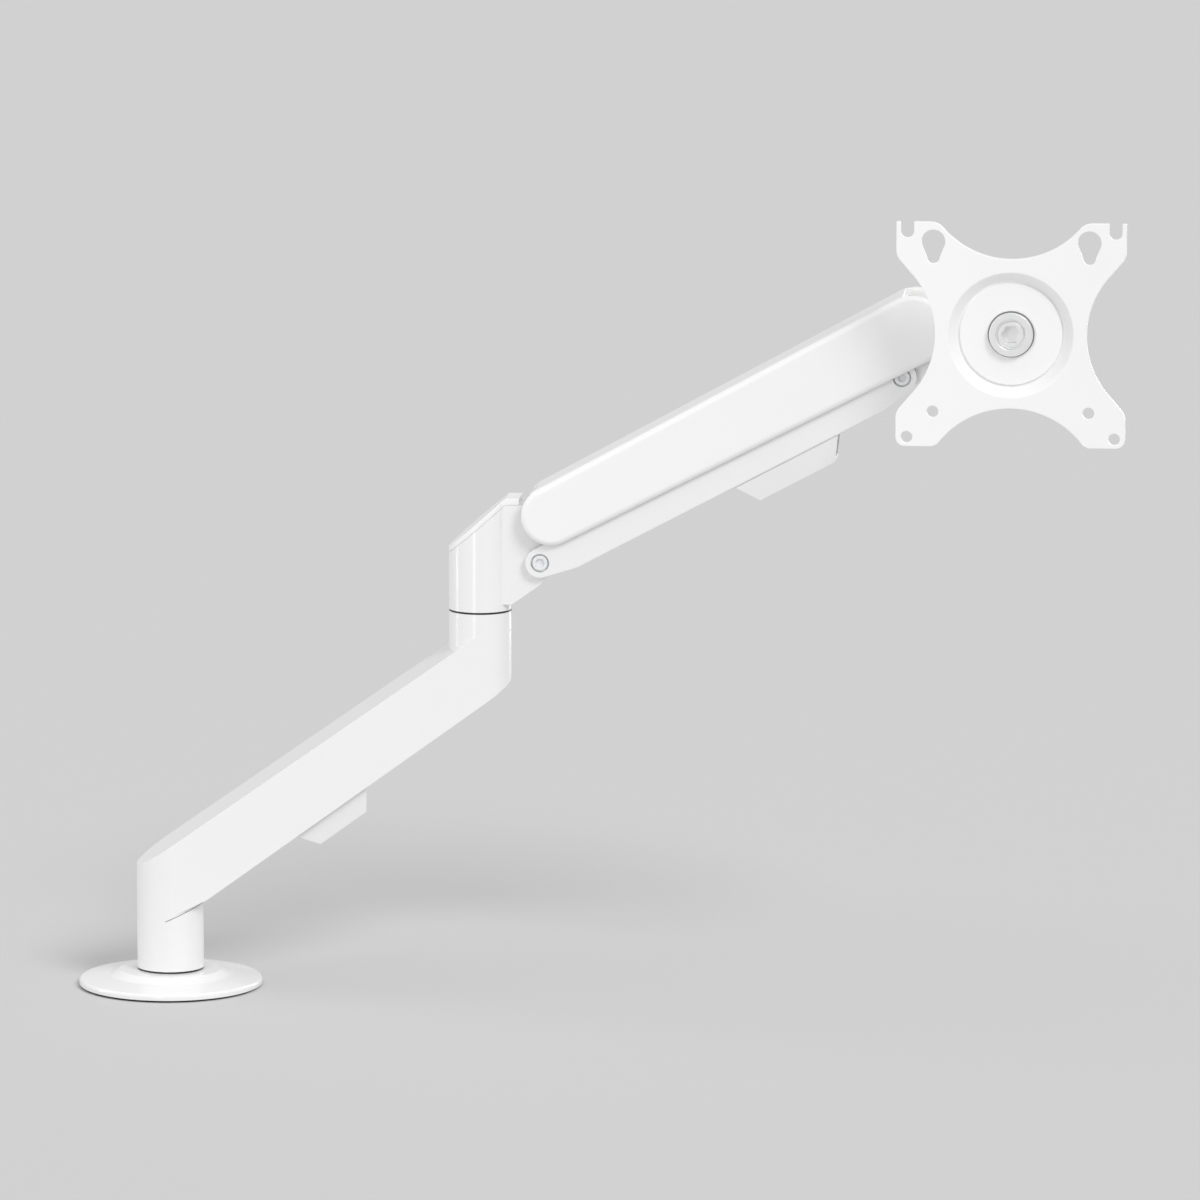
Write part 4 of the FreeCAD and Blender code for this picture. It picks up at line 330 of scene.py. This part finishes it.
@dataclass
class SubAssembly:
    """A group of the arm's pieces that are softened and dressed together."""

    name: str = "sub-assembly"
    edge_segments: int = 3
    weld_mm: float = 0.001
    flat_angle_deg: float = 0.6
    edge_angle_deg: float = 32.0
    face_weight: int = 100

    def soften(self, node: str, radius_mm: float) -> None:
        """Rounds the sharp edges of a node, as its mould, coat or tumbling leaves them.

        Args:
            node: name of the CAD node.
            radius_mm: radius of the rounding.
        """
        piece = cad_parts[node]
        mesh = piece.data
        if "custom_normal" in mesh.attributes:
            mesh.attributes.remove(mesh.attributes["custom_normal"])
        mesh.polygons.foreach_set("use_smooth", [True] * len(mesh.polygons))
        weld = piece.modifiers.new("join_facets", "WELD")
        weld.merge_threshold = self.weld_mm * MM
        flat = piece.modifiers.new("clean_flats", "DECIMATE")
        flat.decimate_type = "DISSOLVE"
        flat.angle_limit = math.radians(self.flat_angle_deg)
        bevel = piece.modifiers.new("soft_edges", "BEVEL")
        bevel.width = radius_mm * MM
        bevel.segments = self.edge_segments
        bevel.limit_method = "ANGLE"
        bevel.angle_limit = math.radians(self.edge_angle_deg)
        bevel.harden_normals = False
        bevel.miter_outer = "MITER_ARC"
        shade = piece.modifiers.new("even_shading", "WEIGHTED_NORMAL")
        shade.weight = self.face_weight
        shade.keep_sharp = False

    def dress(self, node: str, finish: Finish) -> None:
        """Gives a CAD node its finish.

        Args:
            node: name of the CAD node.
            finish: the finish that it gets.
        """
        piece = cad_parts[node]
        material = finish.build()
        if not piece.material_slots:
            piece.data.materials.append(material)
        for place in piece.material_slots:
            place.material = material

    def build(self) -> None:
        """Softens and dresses the pieces."""
        raise NotImplementedError


@dataclass
class DeskBase(SubAssembly):
    """The rubber pad, the round flange and the post that the arm turns on."""

    name: str = "desk base"
    flange_edge_mm: float = 0.6

    def build(self) -> None:
        """Softens and dresses the base's pieces."""
        self.soften("base_flange", self.flange_edge_mm)
        self.dress("base_flange", POWDER_COATED_CASTING)
        self.dress("base_pad", MOULDED_EPDM)
        self.dress("post_spindle", TURNED_STEEL)
        self.dress("foot_screws", BLACK_OXIDE_STEEL)
        self.dress("post_washer", BLACK_ACETAL)


@dataclass
class LowerArm(SubAssembly):
    """The lower arm's casting with its bushes, grub screws and cable clip.

    A thin grey bead of painted shade runs round each side of the post tube, just under the beam,
    standing for the shadow where the beam overhangs the tube.
    """

    name: str = "lower arm"
    casting_edge_mm: float = 1.4
    clip_edge_mm: float = 0.5
    tube_radius_mm: float = 16.4
    heel_shade_start_deg: float = -91.0
    heel_shade_end_deg: float = -4.0
    heel_shade_low_mm: float = 34.6
    heel_shade_high_mm: float = 42.0
    heel_shade_thick_mm: float = 0.55
    heel_shade_sunk_mm: float = 0.18
    heel_shade_points: int = 28
    heel_shade_section_steps: int = 2

    def heel_shade_line(self, side: int) -> list[Vector]:
        """Gives the middle line of the painted shade along the joint on one side of the tube.

        Args:
            side: 1 for the front, -1 for the back.

        Returns:
            Points in metres.
        """
        radius = self.tube_radius_mm - self.heel_shade_sunk_mm
        low = math.sin(math.radians(self.heel_shade_start_deg + 90))
        high = math.sin(math.radians(self.heel_shade_end_deg + 90))
        points = []
        for step in range(self.heel_shade_points):
            sweep = (self.heel_shade_end_deg - self.heel_shade_start_deg) * step / (self.heel_shade_points - 1)
            turn = math.radians(self.heel_shade_start_deg + sweep)
            share = (math.cos(turn) - low) / (high - low)
            height = self.heel_shade_low_mm + (self.heel_shade_high_mm - self.heel_shade_low_mm) * share
            across = radius * math.sin(turn) * side
            points.append(Vector((radius * math.cos(turn), across, height)) * MM)
        return points

    def lay_heel_shade(self, side: int, name: str) -> None:
        """Adds the painted shade on one side as a thin smooth grey bead along the joint.

        Args:
            side: 1 for the front, -1 for the back.
            name: the piece's name.
        """
        bead = bpy.data.curves.new(name, "CURVE")
        bead.dimensions = "3D"
        bead.bevel_depth = self.heel_shade_thick_mm / 2 * MM
        bead.bevel_resolution = self.heel_shade_section_steps
        bead.use_fill_caps = True
        line = bead.splines.new("POLY")
        points = self.heel_shade_line(side)
        line.points.add(len(points) - 1)
        for point, place in zip(line.points, points):
            point.co = (*place, 1.0)
        # The bead's grey is painted shade for the shadow under the beam's heel.
        bead.materials.append(PAINTED_HEEL_SHADE.build())
        piece = bpy.data.objects.new(name, bead)
        bpy.context.scene.collection.objects.link(piece)
        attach(piece, "lower_arm")

    def build(self) -> None:
        """Softens and dresses the lower arm's pieces."""
        self.soften("lower_arm", self.casting_edge_mm)
        self.dress("lower_arm", POWDER_COATED_CASTING)
        # Two grey beads of painted shade stand for the shadow under the beam's heel.
        self.lay_heel_shade(1, "painted_heel_shade_front")
        self.lay_heel_shade(-1, "painted_heel_shade_back")
        self.soften("lower_cable_clip", self.clip_edge_mm)
        self.dress("lower_cable_clip", MOULDED_NYLON)
        self.dress("post_bushes", NATURAL_ACETAL)
        self.dress("elbow_bushes", NATURAL_ACETAL)
        self.dress("swivel_grub_screws", BLACK_OXIDE_STEEL)
        self.dress("elbow_washer", BLACK_ACETAL)


@dataclass
class Knuckle(SubAssembly):
    """The elbow knuckle with its cheeks, cap, spindle, link screws and spring adjuster."""

    name: str = "knuckle"
    casting_edge_mm: float = 0.7
    cap_edge_mm: float = 0.5
    screw_edge_mm: float = 0.25

    def build(self) -> None:
        """Softens and dresses the knuckle's pieces."""
        self.soften("knuckle", self.casting_edge_mm)
        self.dress("knuckle", POWDER_COATED_CASTING)
        self.soften("knuckle_cap", self.cap_edge_mm)
        self.dress("knuckle_cap", MOULDED_ABS)
        self.soften("lower_link_screws", self.screw_edge_mm)
        self.dress("lower_link_screws", ENAMELLED_SCREW)
        self.dress("elbow_spindle", TURNED_STEEL)
        self.dress("lower_hinge_bushes", NATURAL_ACETAL)
        self.dress("adjuster_cross_nut", TURNED_STEEL)
        self.dress("adjuster_screw", BLACK_OXIDE_STEEL)


@dataclass
class UpperArm(SubAssembly):
    """The upper arm's steel frame, moulded cover and pins."""

    name: str = "upper arm"
    cover_edge_mm: float = 0.9
    frame_edge_mm: float = 0.4

    def build(self) -> None:
        """Softens and dresses the upper arm's pieces."""
        self.soften("arm_cover", self.cover_edge_mm)
        self.dress("arm_cover", MOULDED_ABS)
        self.soften("arm_frame", self.frame_edge_mm)
        self.dress("arm_frame", POWDER_COATED_SHEET)
        for pins in ("lower_stub_pins", "upper_stub_pins", "spring_anchor_pin"):
            self.dress(pins, TURNED_STEEL)
        self.dress("spring_anchor_spacers", NATURAL_ACETAL)


@dataclass
class GasSpring(SubAssembly):
    """The gas spring inside the upper arm."""

    name: str = "gas spring"

    def build(self) -> None:
        """Dresses the gas spring's pieces."""
        self.dress("gas_cylinder", SATIN_BLACK_ENAMEL)
        self.dress("gas_rod_guide", BLACK_ACETAL)
        self.dress("piston_rod", CHROMED_STEEL)
        self.dress("piston", TURNED_STEEL)
        self.dress("rod_fork", ZINC_PLATED_STEEL)


@dataclass
class LowerLink(SubAssembly):
    """The parallelogram's lower link with its cable clip."""

    name: str = "lower link"
    link_edge_mm: float = 0.8
    clip_edge_mm: float = 0.5

    def build(self) -> None:
        """Softens and dresses the link and its clip."""
        self.soften("lower_link", self.link_edge_mm)
        self.dress("lower_link", POWDER_COATED_CASTING)
        self.soften("upper_cable_clip", self.clip_edge_mm)
        self.dress("upper_cable_clip", MOULDED_NYLON)


@dataclass
class Head(SubAssembly):
    """The head block, swivel yoke and tilt block with their bolts."""

    name: str = "head"
    casting_edge_mm: float = 0.6
    nut_edge_mm: float = 0.3

    def build(self) -> None:
        """Softens and dresses the head's pieces."""
        for casting in ("head_block", "swivel_yoke", "tilt_block"):
            self.soften(casting, self.casting_edge_mm)
            self.dress(casting, POWDER_COATED_CASTING)
        for fixing in ("swivel_bolt", "swivel_nut", "tilt_bolt", "tilt_nut"):
            self.soften(fixing, self.nut_edge_mm)
            self.dress(fixing, ZINC_PLATED_STEEL)
        self.soften("upper_link_screws", self.nut_edge_mm)
        self.dress("upper_link_screws", ENAMELLED_SCREW)
        for bushes in ("upper_hinge_bushes", "swivel_bushes"):
            self.dress(bushes, NATURAL_ACETAL)
        for washers in ("swivel_washers", "tilt_washers"):
            self.dress(washers, BLACK_ACETAL)


@dataclass
class Plate(SubAssembly):
    """The display plate with its friction disc and centre bolt."""

    name: str = "display plate"
    sheet_edge_mm: float = 0.45
    disc_edge_mm: float = 0.3
    bolt_edge_mm: float = 0.35
    ring_thick_mm: float = 0.8
    ring_sunk_mm: float = 0.15
    ring_steps: int = 96
    ring_section_steps: int = 12

    def lay_bolt_shade_ring(self) -> None:
        """Adds a dull grey ring of painted shade round the centre bolt's head, where it meets the
        disc.
        """
        low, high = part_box("centre_bolt")
        half_thick = self.ring_thick_mm / 2 * MM
        middle = (high.x - low.x) / 2 + half_thick - self.ring_sunk_mm * MM
        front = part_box("friction_disc")[0].y
        depth = front - half_thick + self.ring_sunk_mm * MM
        centre = Vector(((low.x + high.x) / 2, depth, (low.z + high.z) / 2))
        ring = bmesh.new()
        loops = []
        for step in range(self.ring_steps):
            turn = 2 * math.pi * step / self.ring_steps
            loop = []
            for part in range(self.ring_section_steps):
                roll = 2 * math.pi * part / self.ring_section_steps
                reach = middle + half_thick * math.cos(roll)
                sunk = half_thick * math.sin(roll)
                place = Vector((reach * math.cos(turn), sunk, reach * math.sin(turn)))
                loop.append(ring.verts.new(centre + place))
            loops.append(loop)
        for here, there in zip(loops, loops[1:] + loops[:1]):
            for part in range(self.ring_section_steps):
                after = (part + 1) % self.ring_section_steps
                face = ring.faces.new((here[part], here[after], there[after], there[part]))
                face.smooth = True
        bmesh.ops.recalc_face_normals(ring, faces=ring.faces)
        mesh = bpy.data.meshes.new("painted_bolt_shade_ring")
        ring.to_mesh(mesh)
        ring.free()
        # The ring's grey is painted shade for the groove round the bolt's head.
        mesh.materials.append(PAINTED_BOLT_SHADE.build())
        piece = bpy.data.objects.new("painted_bolt_shade_ring", mesh)
        bpy.context.scene.collection.objects.link(piece)
        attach(piece, "tilt")

    def build(self) -> None:
        """Softens and dresses the plate's pieces."""
        self.soften("vesa_plate", self.sheet_edge_mm)
        self.dress("vesa_plate", POWDER_COATED_SHEET)
        self.soften("friction_disc", self.disc_edge_mm)
        self.dress("friction_disc", POWDER_COATED_SHEET)
        self.soften("centre_bolt", self.bolt_edge_mm)
        self.dress("centre_bolt", SATIN_NICKEL_STEEL)
        # A grey ring of painted shade outlines the centre bolt's head.
        self.lay_bolt_shade_ring()
        self.dress("plate_washer", BLACK_ACETAL)


# ---------------------------------------------------------------- studio


@dataclass(frozen=True)
class SoftSun:
    """A far, wide lamp: where it stands, how wide it looks and how strong it is."""

    name: str
    azimuth_deg: float
    elevation_deg: float
    width_deg: float
    strength: float
    distance_m: float = 3.0
    aim_m: tuple[float, float, float] = (0.0, 0.0, 1.0)

    def build(self) -> None:
        """Adds the lamp, aimed at the arm."""
        lamp = bpy.data.lights.new(self.name, "SUN")
        lamp.energy = self.strength
        lamp.angle = math.radians(self.width_deg)
        holder = bpy.data.objects.new(self.name, lamp)
        holder.matrix_world = facing(
            self.azimuth_deg, self.elevation_deg, Vector(self.aim_m), self.distance_m
        )
        bpy.context.scene.collection.objects.link(holder)


@dataclass(frozen=True)
class StripLamp:
    """A tall narrow lamp near the arm. Its reflection draws an upright band on the round tubes."""

    name: str
    azimuth_deg: float
    width_m: float
    brightness: float
    height_m: float = 1.1
    distance_m: float = 1.0
    aim_mm: tuple[float, float] = (150.0, 25.0)

    def build(self, floor: bpy.types.Object) -> None:
        """Adds the lamp. The floor doesn't receive its light, so it stays even.

        Args:
            floor: the studio floor.
        """
        lamp = bpy.data.lights.new(self.name, "AREA")
        lamp.shape = "RECTANGLE"
        lamp.size = self.width_m
        lamp.size_y = self.height_m
        lamp.energy = self.brightness * math.pi * self.width_m * self.height_m
        holder = bpy.data.objects.new(self.name, lamp)
        aim = Vector((*self.aim_mm, 0)) * MM + Vector((0, 0, self.height_m / 2))
        holder.matrix_world = facing(self.azimuth_deg, 0.0, aim, self.distance_m)
        holder.visible_camera = False
        unlit = bpy.data.collections.new(f"{self.name}_unlit")
        unlit.objects.link(floor)
        unlit.collection_objects[0].light_linking.link_state = "EXCLUDE"
        holder.light_linking.receiver_collection = unlit
        bpy.context.scene.collection.objects.link(holder)


def facing(azimuth_deg: float, elevation_deg: float, target: Vector, distance: float) -> Matrix:
    """Places a camera or lamp so that it looks at a target.

    Args:
        azimuth_deg: turn about Z, 0 in front of the object.
        elevation_deg: height above the horizon.
        target: point that it looks at, in metres.
        distance: how far it stands from the target, in metres.

    Returns:
        Its placement.
    """
    azimuth = math.radians(azimuth_deg)
    elevation = math.radians(elevation_deg)
    level = math.cos(elevation)
    back = Vector((math.sin(azimuth) * level, -math.cos(azimuth) * level, math.sin(elevation)))
    turn = back.to_track_quat("Z", "Y").to_matrix().to_4x4()
    return Matrix.Translation(target + back * distance) @ turn


@dataclass
class Studio:
    """The pale floor, the soft light and the camera."""

    floor_half_m: float = 60.0
    sky_shade: str = "#FFFFFF"
    sky_strength: float = 0.52
    camera_azimuth_deg: float = 5.15
    camera_elevation_deg: float = 9.71
    camera_distance_m: float = 4.873
    camera_target_mm: tuple[float, float, float] = (212.15, 0.0, 195.26)
    lens_mm: float = 300.0
    far_clip_m: float = 200.0
    suns: tuple[SoftSun, ...] = field(
        default_factory=lambda: (
            SoftSun("key_softbox", 40.0, 40.0, 22.0, 1.2),
            SoftSun("overhead_softbox", 10.0, 84.0, 60.0, 0.35),
        )
    )
    strips: tuple[StripLamp, ...] = field(
        default_factory=lambda: (
            StripLamp("left_front_strip", -17.0, 0.06, 12.0),
            StripLamp("left_side_strip", -88.0, 0.1, 7.0),
            StripLamp("right_back_strip", 143.0, 0.2, 4.5),
        )
    )

    def lay_floor(self) -> bpy.types.Object:
        """Lays the floor under the base.

        Returns:
            The floor.
        """
        sheet = bmesh.new()
        bmesh.ops.create_grid(sheet, x_segments=2, y_segments=2, size=self.floor_half_m)
        bmesh.ops.translate(sheet, verts=sheet.verts, vec=(0, 0, cad_box[0][2]))
        mesh = bpy.data.meshes.new("studio_floor")
        sheet.to_mesh(mesh)
        sheet.free()
        mesh.materials.append(STUDIO_PAPER.build())
        floor = bpy.data.objects.new("studio_floor", mesh)
        bpy.context.scene.collection.objects.link(floor)
        return floor

    def light(self, floor: bpy.types.Object) -> None:
        """Lights the studio with an even sky, wide soft lamps and tall strips.

        Args:
            floor: the studio floor.
        """
        scene = bpy.context.scene
        scene.world = bpy.data.worlds.new("studio_sky")
        scene.world.use_nodes = True
        tree = scene.world.node_tree
        tree.nodes.clear()
        sky = add_node(
            tree,
            "ShaderNodeBackground",
            values={"Color": linear(self.sky_shade), "Strength": self.sky_strength},
        )
        add_node(tree, "ShaderNodeOutputWorld", links={"Surface": sky.outputs["Background"]})
        scene.view_settings.view_transform = "Standard"
        for sun in self.suns:
            sun.build()
        for strip in self.strips:
            strip.build(floor)

    def set_camera(self) -> None:
        """Sets the camera: a long lens, almost square to the arm and a little above it."""
        view = bpy.data.cameras.new("studio_camera")
        view.lens = self.lens_mm
        view.clip_end = self.far_clip_m
        camera = bpy.data.objects.new("studio_camera", view)
        target = Vector(self.camera_target_mm) * MM
        camera.matrix_world = facing(
            self.camera_azimuth_deg, self.camera_elevation_deg, target, self.camera_distance_m
        )
        bpy.context.scene.collection.objects.link(camera)
        bpy.context.scene.camera = camera

    def build(self) -> None:
        """Builds the floor, light and camera."""
        self.set_camera()
        self.light(self.lay_floor())


def main() -> None:
    """Builds the studio and every sub-assembly."""
    logging.basicConfig(level=logging.INFO, format="%(name)s: %(message)s")
    Studio().build()
    parts = (
        DeskBase(), LowerArm(), Knuckle(), UpperArm(), GasSpring(), LowerLink(), Head(), Plate()
    )
    for part in parts:
        part.build()
        log.info("%s done", part.name)
    bpy.context.view_layer.update()


if __name__ == "__main__":
    main()
